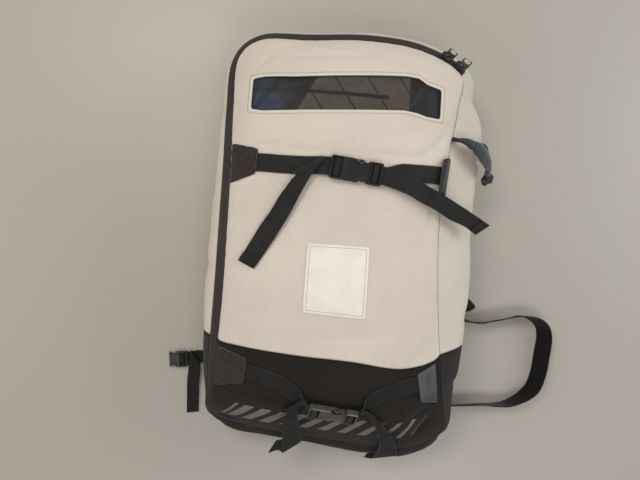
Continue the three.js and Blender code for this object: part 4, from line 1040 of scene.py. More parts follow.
def smooth_rows(rows, step):
    """The two edges of a ribbon, evenly spaced along its middle, and its length."""
    rows = np.asarray(rows, float)
    middle = (rows[:, :3] + rows[:, 3:]) / 2
    knots = np.concatenate([[0], np.cumsum(np.linalg.norm(np.diff(middle, axis=0), axis=1) ** 0.6)])
    slopes = np.gradient(rows, knots, axis=0)
    at = np.linspace(0, knots[-1], 80 * len(rows))
    i = np.clip(np.searchsorted(knots, at, "right") - 1, 0, len(rows) - 2)
    wide = (knots[i + 1] - knots[i])[:, None]
    t = (at - knots[i])[:, None] / wide
    dense = (rows[i] * (2 * t ** 3 - 3 * t ** 2 + 1) + rows[i + 1] * (3 * t ** 2 - 2 * t ** 3)
             + wide * (slopes[i] * (t ** 3 - 2 * t ** 2 + t) + slopes[i + 1] * (t ** 3 - t ** 2)))
    middle = (dense[:, :3] + dense[:, 3:]) / 2
    run = np.concatenate([[0], np.cumsum(np.linalg.norm(np.diff(middle, axis=0), axis=1))])
    even = np.linspace(0, run[-1], round(run[-1] / step) + 1)
    return np.stack([np.interp(even, run, column) for column in dense.T], -1), run[-1]


def ribbon_normals(rows):
    forward = np.gradient((rows[:, :3] + rows[:, 3:]) / 2, axis=0)
    return unit(np.cross(forward, rows[:, 3:] - rows[:, :3]))


def turned_back(rows, step, long, side, thick):
    """Adds the hem of a loose end: the ribbon turns over and lies back on itself, on the side given."""
    normals, forward = ribbon_normals(rows), unit(np.gradient((rows[:, :3] + rows[:, 3:]) / 2, axis=0))
    radius = thick / 2 + 0.15
    turn = np.linspace(0, math.pi, 7)[1:, None]
    bend = forward[-1] * radius * np.sin(turn) + normals[-1] * side * radius * (1 - np.cos(turn))
    round_end = rows[-1] + np.concatenate([bend, bend], 1)
    count = round(long / step)
    back = rows[-2:-count - 2:-1] + np.tile(normals[-2:-count - 2:-1], 2) * side * 2 * radius
    return np.concatenate([rows, round_end, back])


def ribbon_piece(name, rows, wide, thick, material, nodes, hem=0, side=-1,
                 ribs=RIB_HIGH, seed=0):
    step = RIB / 6
    rows, length = smooth_rows(rows, step)
    ends = rows
    if hem:
        rows = turned_back(rows, step, hem, side, thick)
    normals = ribbon_normals(rows)
    count = len(rows) - 1
    sway = np.array([noise.noise(Vector((k * step / 26, seed * 3.1, 0))) for k in range(count + 1)])

    def surface(u, v):
        k = np.round(v * count).astype(int)
        edge = np.minimum(u, 1 - u) * wide
        rib = ribs * np.sin(2 * math.pi * k * step / RIB) * fade(edge - 0.5, 2.5)
        cup = 0.5 * (1 - (2 * u - 1) ** 2) * sway[k]
        shift = (rows[k, 3:] - rows[k, :3]) / wide * (0.35 * sway[::-1][k])[:, None]
        flat = rows[k, :3] * (1 - u)[:, None] + rows[k, 3:] * u[:, None] + shift
        return flat + normals[k] * (rib + cup)[:, None]

    bm = new_grid(ACROSS, np.linspace(0, 1, count + 1), surface, (wide, count * step))
    bmesh.ops.reverse_faces(bm, faces=bm.faces)
    piece = thicken(finish_piece(name, bm, material, nodes), thick, 0)
    print(name, "is cut", round(length + hem), "mm long")
    return ends


# %% Webbing as a material
# The edge colour is a painted highlight along the webbing's two edges.
def woven_webbing(name, light, dark, edge, wide, roughness=0.62):
    paint = Paint(name, roughness=roughness, sheen=0.08, specular=0.22)
    place, uv = paint.place(), paint.cloth_uv()
    x, y, _ = paint.parts(uv)
    ribs = (y * (2 * math.pi / (RIB * MM))).sine() * 0.5 + 0.5
    crossing = (x * (2 * math.pi / (THREAD_ACROSS * MM))).sine() * (y * (8 * math.pi / (RIB * MM))).sine()
    threads = crossing * 0.5 + 0.5
    tone = paint.noise(place, 45, 2) * 0.55 + paint.noise(place, 3, 3) * 0.45
    cloth = paint.mix(tone.ramp(0.3, 0.72), dark, light)
    # Darker between the ribs: painted shade in the webbing's grooves.
    cloth = paint.mix((1 - ribs) * 0.6, cloth, dark)
    # Lighter along both edges: a painted highlight where the webbing's edges catch the light.
    rim = abs(x - wide / 2 * MM).ramp((wide / 2 - 1.6) * MM, (wide / 2 - 0.5) * MM)
    paint.colour(paint.mix(rim * 0.5, cloth, edge))
    paint.height(ribs * 0.55 + threads * 0.45, 0.22)
    return paint.material


STRAP_CLOTH = woven_webbing("strap webbing", srgb(37, 35, 33), srgb(15, 14, 13), srgb(44, 42, 40), STRAP_WIDE)

# %% [markdown]
# ## Buckle places and compression straps
# Two side release buckles hold two straps each. A strap starts at its anchor, runs to the buckle, goes
# under the buckle's two bars, over the inner one and back out under the outer one. What is left over is the
# loose tail. The tails fold over themselves and hang where the photograph shows them.

# %% Where the buckles sit
BUCKLE_THICK, BUCKLE_LIFT = 11, 1
LADDER_PATH = [
    # out from the buckle's middle, up from it
    (49, -3.6), (42, -3.9), (34, -3.9), (29, -3.3), (27, 0), (29.2, 3.1), (33, 3.4), (36.6, 1.6),
    (39.4, -0.9), (45, -1.1),
]


def buckle_frame(x, y, turn):
    """X along the buckle, Z up from the cloth."""
    step = 12
    dx = (plain_height(x + step, y) - plain_height(x - step, y)) / (2 * step)
    dy = (plain_height(x, y + step) - plain_height(x, y - step)) / (2 * step)
    up = Vector((-dx, -dy, 1)).normalized()
    forward = Vector((math.cos(math.radians(turn)), math.sin(math.radians(turn)), 0))
    forward = (forward - up * forward.dot(up)).normalized()
    middle = Vector((x, y, float(plain_height(x, y)))) + up * (BUCKLE_THICK / 2 + BUCKLE_LIFT)
    return Matrix.Translation(middle) @ Matrix((forward, up.cross(forward), up)).transposed().to_4x4()


def ladder_rows(place, side, half=STRAP_WIDE / 2):
    return np.array([[*(place @ Vector((side * x, half, z))), *(place @ Vector((side * x, -half, z)))]
                     for x, z in LADDER_PATH])


BUCKLE_TILT, BUCKLE_RISE = math.radians(17), 4.2  # the drawn straps stand the lower buckle on its foot
UPPER_BUCKLE, BUCKLE_SEAT = buckle_frame(12, 133, -6), buckle_frame(4, -286, -8)
LOWER_BUCKLE = BUCKLE_SEAT @ Matrix.Translation((0, 0, BUCKLE_RISE)) @ Matrix.Rotation(BUCKLE_TILT, 4, "X")
print("upper buckle at", [round(c) for c in UPPER_BUCKLE.translation])

# %% The compression straps
LEFT, RIGHT = -1, 1
STRAPS = {
    # each: the buckle and its side, the run on the cloth, the tail on the cloth, the tail in the air
    "strap_upper_left": (UPPER_BUCKLE, LEFT, [
        (-172, 153, -172, 123, 1.2), (-150, 152, -151, 122, 1.6), (-113, 151, -113, 121, 1.7),
        (-76, 151, -77, 121, 1.9),
    ], [
        (-42, 150, -84, 124, 6.6), (-46, 152, -92, 124, 8.6), (-43, 147, -86, 120, 11),
        (-52, 134, -93, 110, 12), (-62, 117, -100, 99, 12), (-73, 95, -110, 84, 10.5),
        (-90, 58, -124, 58, 8), (-106, 28, -140, 33, 5.5), (-126, -7, -157, 2, 3.4),
        (-146, -40, -174, -28, 2.2),
    ], []),
    "strap_upper_right": (UPPER_BUCKLE, RIGHT, [
        (166, 154, 166, 124, 3), (145, 154, 145, 124, 2.4), (121, 153, 122, 123, 1.9),
        (88, 151, 89, 121, 1.9),
    ], [
        (70, 141, 65, 111, 7), (90, 138, 80, 107, 10), (115, 129, 105, 99, 12), (138, 117, 128, 88, 13),
    ], [
        (160, 106, 222, 148, 80, 220), (193, 91, 212, 179, 65, 208), (230, 74, 196, 211, 55, 192),
        (255, 62, 186, 233, 44, 180),
    ]),
    "strap_lower_left": (LOWER_BUCKLE, LEFT, [
        (-168, -205, -170, -231, 1.2), (-150, -211, -152, -237, 1.6), (-122, -217, -124, -244, 1.9),
        (-92, -226, -97, -253, 2.2), (-70, -238, -78, -265, 3), (-56, -250, -62, -275, 3.8),
    ], [
        (-45, -266, -74, -290, 9), (-49, -265, -80, -289, 13), (-46, -269, -76, -293, 17),
        (-55, -279, -81, -303, 19), (-57, -296, -84, -322, 20),
    ], [
        (-54, -318, 169, -84, -343, 146), (-50, -343, 146, -84, -366, 126),
        (-48, -366, 124, -82, -396, 106), (-49, -369, 118, -83, -402, 100), (-56, -369, 113, -88, -400, 96),
        (-74, -373, 104, -98, -403, 90), (-96, -382, 96, -110, -411, 84),
    ]),
    "strap_lower_right": (LOWER_BUCKLE, RIGHT, [
        (164, -208, 171, -234, 1.2), (146, -214, 152, -240, 1.6), (120, -224, 127, -251, 1.9),
        (97, -233, 102, -260, 2.2), (77, -243, 80, -270, 3), (62, -256, 64, -282, 3.8),
    ], [
        (52, -279, 74, -294, 9), (55, -276, 80, -291, 13), (53, -281, 78, -293, 18),
        (65, -288, 88, -298, 20), (78, -304, 102, -314, 20),
    ], [
        (89, -327, 164, 117, -335, 158), (97, -350, 138, 127, -356, 134), (101, -376, 110, 135, -376, 108),
        (96, -400, 88, 140, -396, 88), (92, -409, 80, 139, -400, 82), (88, -411, 76, 130, -402, 76),
        (80, -413, 70, 88, -404, 68),
    ]),
}
TAIL_HEM, DRAWN_RIB_HIGH = 15, 0.36  # the lower straps are drawn tight, which raises their ribs
strap_rows = {}
for seed, (name, (buckle, side, run, tail, hanging)) in enumerate(STRAPS.items()):
    parts = [on_cloth(run), ladder_rows(buckle, side),
             on_cloth(tail)] + ([np.array(hanging, float)] if hanging else [])
    strap_rows[name] = ribbon_piece(
        name + "_webbing", np.concatenate(parts), STRAP_WIDE, WEBBING, STRAP_CLOTH, [name],
        hem=TAIL_HEM, ribs=DRAWN_RIB_HIGH if "lower" in name else RIB_HIGH, seed=seed)

# %% [markdown]
# ## Patches on the front
# The strap anchors and the label are flat patches, cut with scissors and sewn on. Each is a grid between
# its four corners that follows the stuffed front. Felt doesn't fray, but its cut edge is never quite
# straight, and over a strap's end the patch rises by the strap's thickness.

# %% Patches
def patch_piece(name, corners, thick, lift, material, nodes, cell=1.6, ragged=0.0, rounding=0.05,
                seed=0):
    a, b, c, d = [np.array(corner, float) for corner in corners]
    wide, long = np.linalg.norm(b - a), np.linalg.norm(d - a)
    middle = (a + b + c + d) / 4

    def surface(u, v):
        across, down = u[:, None], v[:, None]
        p = (a * (1 - across) + b * across) * (1 - down) + (d * (1 - across) + c * across) * down
        corner = (np.abs(2 * u - 1) * np.abs(2 * v - 1)) ** 9
        p = middle + (p - middle) * (1 - rounding * corner)[:, None]
        rim = (1 - fade(np.minimum(np.minimum(u, 1 - u) * wide, np.minimum(v, 1 - v) * long), 2.5))[:, None]
        rough = np.array([[noise.noise(Vector((*q, seed)) / 3.1),
                           noise.noise(Vector((*q, seed + 9)) / 3.1)] for q in p])
        p = p + rough * ragged * rim
        high = lift(u, v) + thick - 0.35 * rim[:, 0] * (thick > 1.5)
        return on_front(p[:, 0], p[:, 1], high)

    bm = new_grid(marks(wide, cell, 0.4), marks(long, cell, 0.4), surface, (wide, long))
    bm.normal_update()
    if sum(face.normal.z for face in bm.faces) < 0:
        bmesh.ops.reverse_faces(bm, faces=bm.faces)
    piece = thicken(finish_piece(name, bm, material, nodes), thick)
    return piece


def over_strap(u, v):
    return 0.5 + 2.5 * fade(u - 0.3, 0.35) * fade(v - 0.02, 0.16) * fade(0.98 - v, 0.2)


def felt():
    paint = Paint("grey felt", roughness=0.95, sheen=0.12, specular=0.12)
    place = paint.place()
    specks = paint.noise(place, 1.5, 2, 0.6).ramp(0.6, 0.72)
    tone = paint.noise(place, 30, 3).ramp(0.2, 0.8)
    base = paint.mix(tone, srgb(44, 39, 36), srgb(50, 45, 42))
    base = paint.mix(specks * 0.75, base, srgb(122, 114, 106))
    paint.colour(paint.mix(paint.near_edge(0, 1.0) * 0.35, base, srgb(120, 112, 104)))
    paint.height(paint.noise(place, 0.9, 3, 0.6) * 0.6 + specks * 0.4, 0.25)
    return paint.material


def coated_cloth(name, light, dark):
    paint = Paint(name, roughness=0.5, sheen=0.05, coat=0.1, specular=0.45)
    place = paint.place()
    tone = paint.noise(place, 30, 3) * 0.7 + paint.noise(place, 2.4, 3) * 0.3
    paint.colour(paint.mix(tone.ramp(0.32, 0.7), dark, light))
    paint.height(weave(paint, paint.cloth_uv(), 0.9) * 0.4 + paint.noise(place, 1.8, 2) * 0.6, 0.14)
    return paint.material


def label_cloth():
    paint = Paint("label cloth", roughness=0.7, sheen=0.1, specular=0.35)
    place = paint.place()
    tone = paint.noise(place, 40, 3) * 0.7 + paint.noise(place, 3, 2) * 0.3
    paint.colour(paint.mix(tone.ramp(0.3, 0.7), srgb(218, 208, 197), srgb(230, 221, 210)))
    paint.height(weave(paint, paint.cloth_uv(), 0.55) * 0.7 + paint.noise(place, 5, 2) * 0.5, 0.1)
    return paint.material


TAB_CORNERS = [(178, -188), (148, -210), (160, -262), (191, -263)]
LABEL_CORNERS = [(-59, 8), (45, 8), (47, -115), (-60, -110)]
FELT, TAB_CLOTH = felt(), coated_cloth("blue grey tab cloth", srgb(68, 71, 74), srgb(52, 55, 57))
patch_piece("tab_upper_left_felt", [(-201, 168), (-153, 160), (-156, 118), (-200.5, 100)], 2.0, over_strap,
            FELT,
            ["tab_upper_left"], cell=1.3, ragged=1.1, rounding=0.02, seed=1)
patch_piece("tab_lower_left_felt", [(-205, -182), (-153, -202), (-157, -249), (-211, -256)], 2.0,
            over_strap, FELT,
            ["tab_lower_left"], cell=1.3, ragged=1.1, rounding=0.04, seed=2)
patch_piece("tab_lower_right_cloth", TAB_CORNERS, 1.6, over_strap,
            TAB_CLOTH,
            ["tab_lower_right"], rounding=0.01, seed=3)
patch_piece("label", LABEL_CORNERS, 0.9, lambda u, v: 0.35 + 0 * u,
            label_cloth(),
            ["label_patch"], cell=2.6, rounding=0.022, seed=4)

# %% [markdown]
# ## Buckles
# A side release buckle is moulded in two halves: a socket with a window at each side, where the plug's sprung
# arms show and are pressed. The imported solids have the pocket, the arms and the bars. A merged copy gets what
# a mould gives: every hard edge rounded by half a millimetre, and a fine grain. Two round notches are cut
# where a thumb and a finger press, and a knob fills the upper one, painted darker as the shade in its notch.
# The lower buckle is tipped up on its foot, and its plastic is painted lighter as a highlight.

# %% Rounded copies of the imported solids
def cut_away(bm, cutters):
    """Cuts round holes into a closed mesh; a cutter is the matrix of a cylinder of radius 1 and height 2."""
    whole = bpy.data.objects.new("whole", bpy.data.meshes.new("whole"))
    bm.to_mesh(whole.data)
    bpy.context.scene.collection.objects.link(whole)
    tools = [whole]
    for matrix in cutters:
        round_bm = bmesh.new()
        bmesh.ops.create_cone(round_bm, cap_ends=True, segments=40, radius1=1, radius2=1, depth=2,
                              matrix=matrix)
        tool = bpy.data.objects.new("cutter", bpy.data.meshes.new("cutter"))
        round_bm.to_mesh(tool.data)
        round_bm.free()
        bpy.context.scene.collection.objects.link(tool)
        cut = whole.modifiers.new("cut", "BOOLEAN")
        cut.operation, cut.object, cut.solver = "DIFFERENCE", tool, "EXACT"
        tools.append(tool)
    finished = bpy.data.meshes.new_from_object(whole.evaluated_get(bpy.context.evaluated_depsgraph_get()))
    bm.clear()
    bm.from_mesh(finished)
    for tool in tools:
        bpy.data.objects.remove(tool)


WELD, FLAT_ANGLE, SHADE_ANGLE = 0.005, math.radians(1.5), math.radians(32)


def rounded_copy(node, name, width, material, segments=3, angle=28, cutters=(), moved=Matrix()):
    bm = merged_copy(node, WELD)
    bm.transform(moved)
    if cutters:
        cut_away(bm, cutters)
    bmesh.ops.dissolve_limit(bm, angle_limit=FLAT_ANGLE, verts=bm.verts, edges=bm.edges)
    uv = bm.loops.layers.uv.new("cloth")
    for face in bm.faces:
        for loop in face.loops:
            loop[uv].uv = loop.vert.co.xy
    sharp = [e for e in bm.edges if len(e.link_faces) == 2 and e.calc_face_angle() > math.radians(angle)]
    bmesh.ops.bevel(bm, geom=sharp, offset=width * MM, segments=segments, profile=0.5, affect="EDGES",
                    material=-1, clamp_overlap=True)
    piece = finish_piece(name, bm, material, [node])
    piece.data.set_sharp_from_angle(angle=SHADE_ANGLE)
    return piece


def moulded(name, light, dark, roughness=0.42, specular=0.5):
    paint = Paint(name, roughness=roughness, specular=specular)
    place = paint.place()
    tone = paint.noise(place, 18, 3).ramp(0.3, 0.7)
    paint.colour(paint.mix(tone, dark, light))
    grain = paint.noise(place, 0.7, 2, 0.6)
    paint.rough(grain * 0.22 + paint.noise(place, 12, 2) * 0.12 + (roughness - 0.17))
    paint.height(grain, 0.05)
    return paint.material


BLACK_PLASTIC = moulded("black buckle plastic", srgb(24, 22, 20), srgb(15, 14, 13), specular=0.4)
GREY_PLASTIC = moulded("grey buckle plastic", srgb(54, 50, 46), srgb(38, 35, 32), 0.5)
NOTCHES = [
    # along the buckle, across it, radius: where a thumb and a finger press the plug's arms
    (5.5, 20.5, 10.5), (6.5, -23.5, 8.5),
]
NOTCH_FLOOR, NOTCH_HALF = 0.4, 4
ARM_KNOB, KNOB_RADII = (6.0, 14.9, 1.0), (8.6, 4.8, 3.6)
# The knob is painted darker than the buckle: painted shade in its notch.
KNOB_PLASTIC = moulded("shaded knob plastic", srgb(16, 15, 14), srgb(7, 7, 6), 0.3, specular=0.6)
# The lower buckle's plastic is painted lighter than the upper one's: a painted highlight on its tipped plates.
LOWER_PLASTIC = moulded("highlit buckle plastic", srgb(58, 54, 50), srgb(36, 33, 31), 0.3, specular=0.8)
BUCKLES = [
    # name, where it shows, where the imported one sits, finish
    ("upper", UPPER_BUCKLE, UPPER_BUCKLE, BLACK_PLASTIC),
    ("lower", LOWER_BUCKLE, BUCKLE_SEAT, LOWER_PLASTIC),
]
for level, place, seat, plastic in BUCKLES:
    moved = METRES @ place @ seat.inverted() @ METRES.inverted()
    cutters = [METRES @ place @ Matrix.Translation((x, y, NOTCH_FLOOR + NOTCH_HALF))
               @ Matrix.Diagonal((radius, radius, NOTCH_HALF, 1)) for x, y, radius in NOTCHES]
    for half, cuts in (("socket", cutters), ("plug", ())):
        node = f"buckle_{level}_{half}"
        rounded_copy(node, node + "_moulded", 0.5, plastic, cutters=cuts, moved=moved)
    bm = bmesh.new()
    add_ball(bm, place, ARM_KNOB, KNOB_RADII, 32, 18)
    finish_piece(f"buckle_{level}_arm_knob", bm, KNOB_PLASTIC)
rounded_copy("belt_buckle", "belt_buckle_moulded", 0.45, GREY_PLASTIC)

# %% [markdown]
# ## Straps and tabs beside the bag
# A wide shoulder strap lies in a loop on the floor, standing half on its edge. The end of the hip belt
# pokes out at the left with one half of its buckle, and a small strap end shows at the right. They are
# ribbons as before, but they rest on the floor. The upper right anchor is a patch of coated cloth that is
# folded over its strap and pulled up.

# %% The shoulder strap's loop
LOOP_WIDE, BELT_WIDE, BELT_THICK, FLOOR_LIFT = 38, 26, 1.5, 1.4


def rolled_rows(rows, wide):
    """Rows of two edges from a middle line on the floor and the webbing's roll about it: x, y, degrees."""
    x, y, roll = np.array(rows, float).T
    forward = np.stack([np.append(x[1:], x[-1]) - np.append(x[0], x[:-1]),
                        np.append(y[1:], y[-1]) - np.append(y[0], y[:-1])])
    forward /= np.linalg.norm(forward, axis=0)
    lean = np.radians(roll)
    across = np.stack([-forward[1] * np.cos(lean), forward[0] * np.cos(lean), np.sin(lean)], -1) * wide / 2
    middle = np.stack([x, y, FLOOR_LIFT + np.abs(np.sin(lean)) * wide / 2], -1)
    return np.concatenate([middle + across, middle - across], 1)


LOOP = [
    (201, -138, 0), (226, -137, 3), (242, -135, 34), (262, -133, 66), (288, -136, 82), (310, -136, 84),
    (331, -132, 76), (357, -126, 76), (378, -120, 78), (394, -116, 84), (411, -117, 80), (429, -124, 72),
    (441, -136, 67), (446, -153, 64), (446, -172, 63), (444, -192, 62), (442, -212, 62), (439, -233, 64),
    (429, -264, 68), (417, -278, 74), (402, -289, 82), (376, -302, 91), (352, -306, 98), (322, -307, 103),
    (290, -311, 105), (262, -313, 104), (247, -312, 94), (236, -311, 58), (226, -309, 20), (212.5, -307, 0),
]
LOOP_CLOTH = woven_webbing("shoulder strap webbing", srgb(18, 17, 16), srgb(9, 9, 8), srgb(34, 32, 31),
                           LOOP_WIDE)
ribbon_piece("loop_strap_webbing", rolled_rows(LOOP, LOOP_WIDE), LOOP_WIDE, WEBBING, LOOP_CLOTH,
             ["loop_strap"],
             ribs=0.12, seed=11)

# %% The hip belt's end and the small strap end
BELT_CLOTH = woven_webbing("belt webbing", srgb(26, 24, 22), srgb(14, 13, 12), srgb(44, 41, 38), BELT_WIDE)
BELT_SCALE = 0.86
belt_place = (Matrix.Translation((-340, -262, 5.2)) @ Matrix.Rotation(math.radians(6.5) + math.pi, 4, "Z")
              @ Matrix.Scale(BELT_SCALE, 4))
BELT_RUN = [
    (-213, -258, 1.5, -213, -232, 1.5), (-224, -260, 1.6, -224, -234, 1.6),
    (-240, -262, 2.4, -241, -236, 2.4), (-264, -264, 1.8, -266, -238, 1.8),
    (-284, -266, 1.7, -287, -240, 1.7),
]
BELT_TAIL = [
    (-278, -266, 5.4, -298, -241, 5.4), (-275, -264, 7.6, -295, -239, 7.6),
    (-276, -267, 9.6, -297, -243, 9.8), (-274, -276, 10.2, -297, -263, 11),
    (-274, -290, 8.6, -299, -286, 10.6), (-275, -315, 5.4, -300, -318, 6.6),
    (-274, -343, 3, -299, -347, 3.4), (-273, -370, 1.8, -298, -374, 1.8),
]
belt = np.concatenate([BELT_RUN, ladder_rows(belt_place, LEFT, BELT_WIDE / 2 / BELT_SCALE), BELT_TAIL])
ribbon_piece("belt_webbing", belt, BELT_WIDE, BELT_THICK, BELT_CLOTH, ["belt_strap"],
             ribs=0.12, seed=12)
TIP = [
    (202.4, -92, 1.9, 202.4, -116, 1.9), (250, -92, 1.4, 250, -118, 1.4), (286, -89, 1.4, 286, -117, 1.4),
    (302, -103, 1.4, 302, -109, 1.4),
]
ribbon_piece("strap_tip_webbing", TIP, BELT_WIDE, WEBBING, BELT_CLOTH, ["strap_tip"],
             ribs=0.1, seed=13)

# %% The folded anchor at the upper right
ANCHOR_WIDE = 60
ANCHOR = [
    (173.2, 166, 193.7, 168.6, 106, 194.6), (175, 168, 204, 170, 106, 204), (171, 169, 209, 166, 108, 209),
    (166, 168, 210, 161, 111, 211), (161.5, 165, 209, 156, 106, 211.5),
]


def folded_tab_cloth():
    """Coated cloth outside, and black where the fold's inner side shows: at its left edge and its foot."""
    paint = Paint("folded tab cloth", roughness=0.5, sheen=0.05, coat=0.1, specular=0.4)
    place, uv = paint.place(), paint.cloth_uv()
    x, y, _ = paint.parts(uv)
    tone = paint.noise(place, 30, 3) * 0.7 + paint.noise(place, 2.4, 3) * 0.3
    cloth = paint.mix(tone.ramp(0.32, 0.7), srgb(50, 53, 56), srgb(66, 70, 74))
    left = (y * 1000).ramp(16.5, 17.5)
    foot = (x * 1000).ramp(43, 45) * (y * 1000).ramp(9, 10)
    paint.colour(paint.mix(left + foot * (1 - left), cloth, srgb(18, 17, 17)))
    paint.height(weave(paint, uv, 0.9) * 0.4 + paint.noise(place, 1.8, 2) * 0.6, 0.14)
    return paint.material


ribbon_piece("tab_upper_right_cloth", ANCHOR, ANCHOR_WIDE, 2.0, folded_tab_cloth(),
             ["tab_upper_right"],
             ribs=0, seed=14)

# %% [markdown]
# ## The grab handle
# The handle on the right wall is a strap in a padded sleeve. The sleeve is a tube whose width and thickness
# change along its curve, wrinkled where it bends. The strap shows outside it, and both end in a gathered
# lump of cloth.

# %% Tubes
def tube(sides, along, place):
    """A closed tube: place(angle, t) puts its points, and both ends are filled."""
    round_it, down = np.linspace(0, 1, sides + 1), np.linspace(0, 1, along + 1)
    bm = new_grid(round_it, down, lambda u, v: place(2 * math.pi * u, v), (sides, along * 2))
    bmesh.ops.remove_doubles(bm, verts=bm.verts, dist=0.02 * MM)
    rims = [e for e in bm.edges if e.is_boundary]
    if rims:
        caps = bmesh.ops.holes_fill(bm, edges=rims, sides=0)["faces"]
        bmesh.ops.poke(bm, faces=caps)
    bmesh.ops.recalc_face_normals(bm, faces=bm.faces)
    return bm


def path_frames(rows, wide_way, t):
    """Middle, across and up along a path of rows that start with x, y, z; t runs from 0 to 1."""
    at = t * (len(rows) - 1)
    row = through(rows, at)
    before, after = np.maximum(at - 0.05, 0), np.minimum(at + 0.05, len(rows) - 1)
    forward = unit(through(rows, after)[..., :3] - through(rows, before)[..., :3])
    way = np.array(wide_way, float)
    across = unit(way - forward * (forward @ way)[..., None])
    return row, across, np.cross(forward, across)


# %% The handle
HANDLE = [
    # middle of the sleeve, its width and thickness
    (189, 204, 199, 7.5, 5), (197, 203, 201, 9, 6), (205, 200.5, 202, 11.5, 8), (214, 197, 200, 16, 10),
    (226, 191, 192, 23, 13), (240, 184, 178, 25, 14), (253, 176, 160, 21, 13), (263, 168, 141, 16, 10),
    (269, 160, 124, 12, 8),
]
SLEEVE_CREASES = [
    # place along the sleeve, angle round it, half widths of both, depth
    (0.4, 3.1, 0.025, 1.1, 5.2), (0.36, 0.4, 0.03, 0.8, 1.2), (0.56, 3.3, 0.04, 0.8, 1.4),
    (0.7, 0.2, 0.05, 0.9, 1.0), (0.85, 3.1, 0.04, 1.2, 1.3), (0.94, 0.8, 0.03, 1.2, 1.0),
]


def sleeve_place(angle, t):
    row, across, up = path_frames(HANDLE, (0.45, 1, 0), t)
    cosine, sine = np.cos(angle), np.sin(angle)
    round_it = np.stack([cosine * 1.3, sine * 1.3, t * 9], -1)
    pad = 1 + 0.05 * np.array([noise.noise(Vector(p)) for p in round_it])
    for place, turn, long, wide, depth in SLEEVE_CREASES:
        off = np.mod(angle - turn + math.pi, 2 * math.pi) - math.pi
        pad = pad - depth * 2 / row[:, 3] * bell(t - place, long) * bell(off, wide)
    seam = 1 - 0.06 * bell(np.mod(angle, 2 * math.pi) - 1.2, 0.1)
    half = row[:, 3:] / 2 * (pad * seam)[:, None]
    reach = across * (cosine * half[:, 0])[:, None] + up * (sine * half[:, 1])[:, None]
    return row[:, :3] + reach


def sleeve_cloth():
    paint = Paint("sleeve cloth", roughness=0.7, sheen=0.35, specular=0.35)
    place = paint.place()
    tone = paint.noise(place, 22, 3) * 0.7 + paint.noise(place, 2.2, 3) * 0.3
    paint.colour(paint.mix(tone.ramp(0.3, 0.7), srgb(26, 31, 31), srgb(50, 56, 56)))
    paint.height(paint.noise(place, 1.0, 3, 0.6), 0.22)
    return paint.material


sleeve = finish_piece("handle_sleeve_pad", tube(28, 90, sleeve_place), sleeve_cloth(),
                      ["handle_sleeve"])

GRIP_WIDE, GRIP_UNDER, GRIP_PROUD, GRIP_TWIST = 14, 1.6, 9.5, math.radians(50)
GRIP_START, GRIP_END = [(178.4, 211, 188, 177, 202, 196.5)], [(271, 158, 103, 269, 146, 103)]


def grip_rows(t):
    """The strap under the sleeve: it starts half on its edge and comes out on the sleeve's outer side."""
    row, across, up = path_frames(HANDLE, (0.45, 1, 0), t)
    under = row[:, :3] - up * (row[:, 4:] / 2 + GRIP_UNDER)
    proud = (row[:, 3] / 2 + GRIP_PROUD - GRIP_WIDE / 2) * fade(t - 0.4, 0.25) * fade(1.1 - t, 0.2)
    twist = (GRIP_TWIST * (1 - fade(t - 0.05, 0.4)))[:, None]
    way = across * np.cos(twist) - up * np.sin(twist)
    middle = under + across * proud[:, None]
    return np.concatenate([middle + way * GRIP_WIDE / 2, middle - way * GRIP_WIDE / 2], 1)


GRIP = np.concatenate([GRIP_START, grip_rows(np.linspace(0.06, 1, 9)), GRIP_END])
GRIP_CLOTH = woven_webbing("grip webbing", srgb(20, 19, 19), srgb(11, 11, 11), srgb(32, 31, 30), GRIP_WIDE)
ribbon_piece("handle_grip_webbing", GRIP, GRIP_WIDE, WEBBING, GRIP_CLOTH, ["handle_webbing"],
             ribs=0.1, seed=15)

LUMP = [
    # middle and radius of the gathered end
    (271.1, 160, 118, 3.6), (272.9, 158, 113, 8), (273.9, 155, 107, 10), (273.9, 152, 101, 8.5),
    (272.9, 150, 96, 7.5), (271.9, 148, 92, 3.6),
]


def lump_place(angle, t):
    row = through(LUMP, t * (len(LUMP) - 1))
    gather = 0.13 * np.sin(3 * angle + 8.5 * t) + 0.06 * np.sin(9 * angle + 4 * t)
    neck = 1 - 0.2 * bell(t - 0.62, 0.09)
    out = row[:, 3] * (1 + gather) * neck
    return np.stack([row[:, 0] + out * np.cos(angle), row[:, 1] + out * np.sin(angle),
                     row[:, 2] + 1.5 * np.cos(angle)], -1)


def gathered_cloth():
    paint = Paint("gathered strap end", roughness=0.66, sheen=0.3)
    place = paint.place()
    tone = paint.noise(place, 7, 3).ramp(0.35, 0.65)
    paint.colour(paint.mix(tone, srgb(12, 12, 12), srgb(38, 40, 40)))
    paint.height(paint.noise(place, 1.4, 4, 0.7), 0.5)
    return paint.material


lump = finish_piece("handle_end_gather", tube(36, 40, lump_place), gathered_cloth(),
                    ["handle_end"])

# %% [markdown]
# ## Zip sliders
# Two sliders meet at the zip's upper right end. Each has a rounded black body with lumps on top, because the
# real ones look round from above. Each pull is a flat metal plate that is wider at its free end, with an oval
# slot: a ring of faces from the slot to the outline, which then gets its thickness and rounded edges.

# %% Sliders and pulls
def satin_metal():
    paint = Paint("olive pull metal", roughness=0.38, metallic=0.75, specular=0.5)
    place = paint.place()
    tone = paint.noise(place, 6, 3).ramp(0.3, 0.7)
    paint.colour(paint.mix(tone, srgb(66, 68, 58), srgb(92, 93, 82)))
    paint.rough(paint.noise(place, 1.2, 3) * 0.25 + 0.28)
    paint.height(paint.noise(place, 0.8, 2), 0.04)
    return paint.material


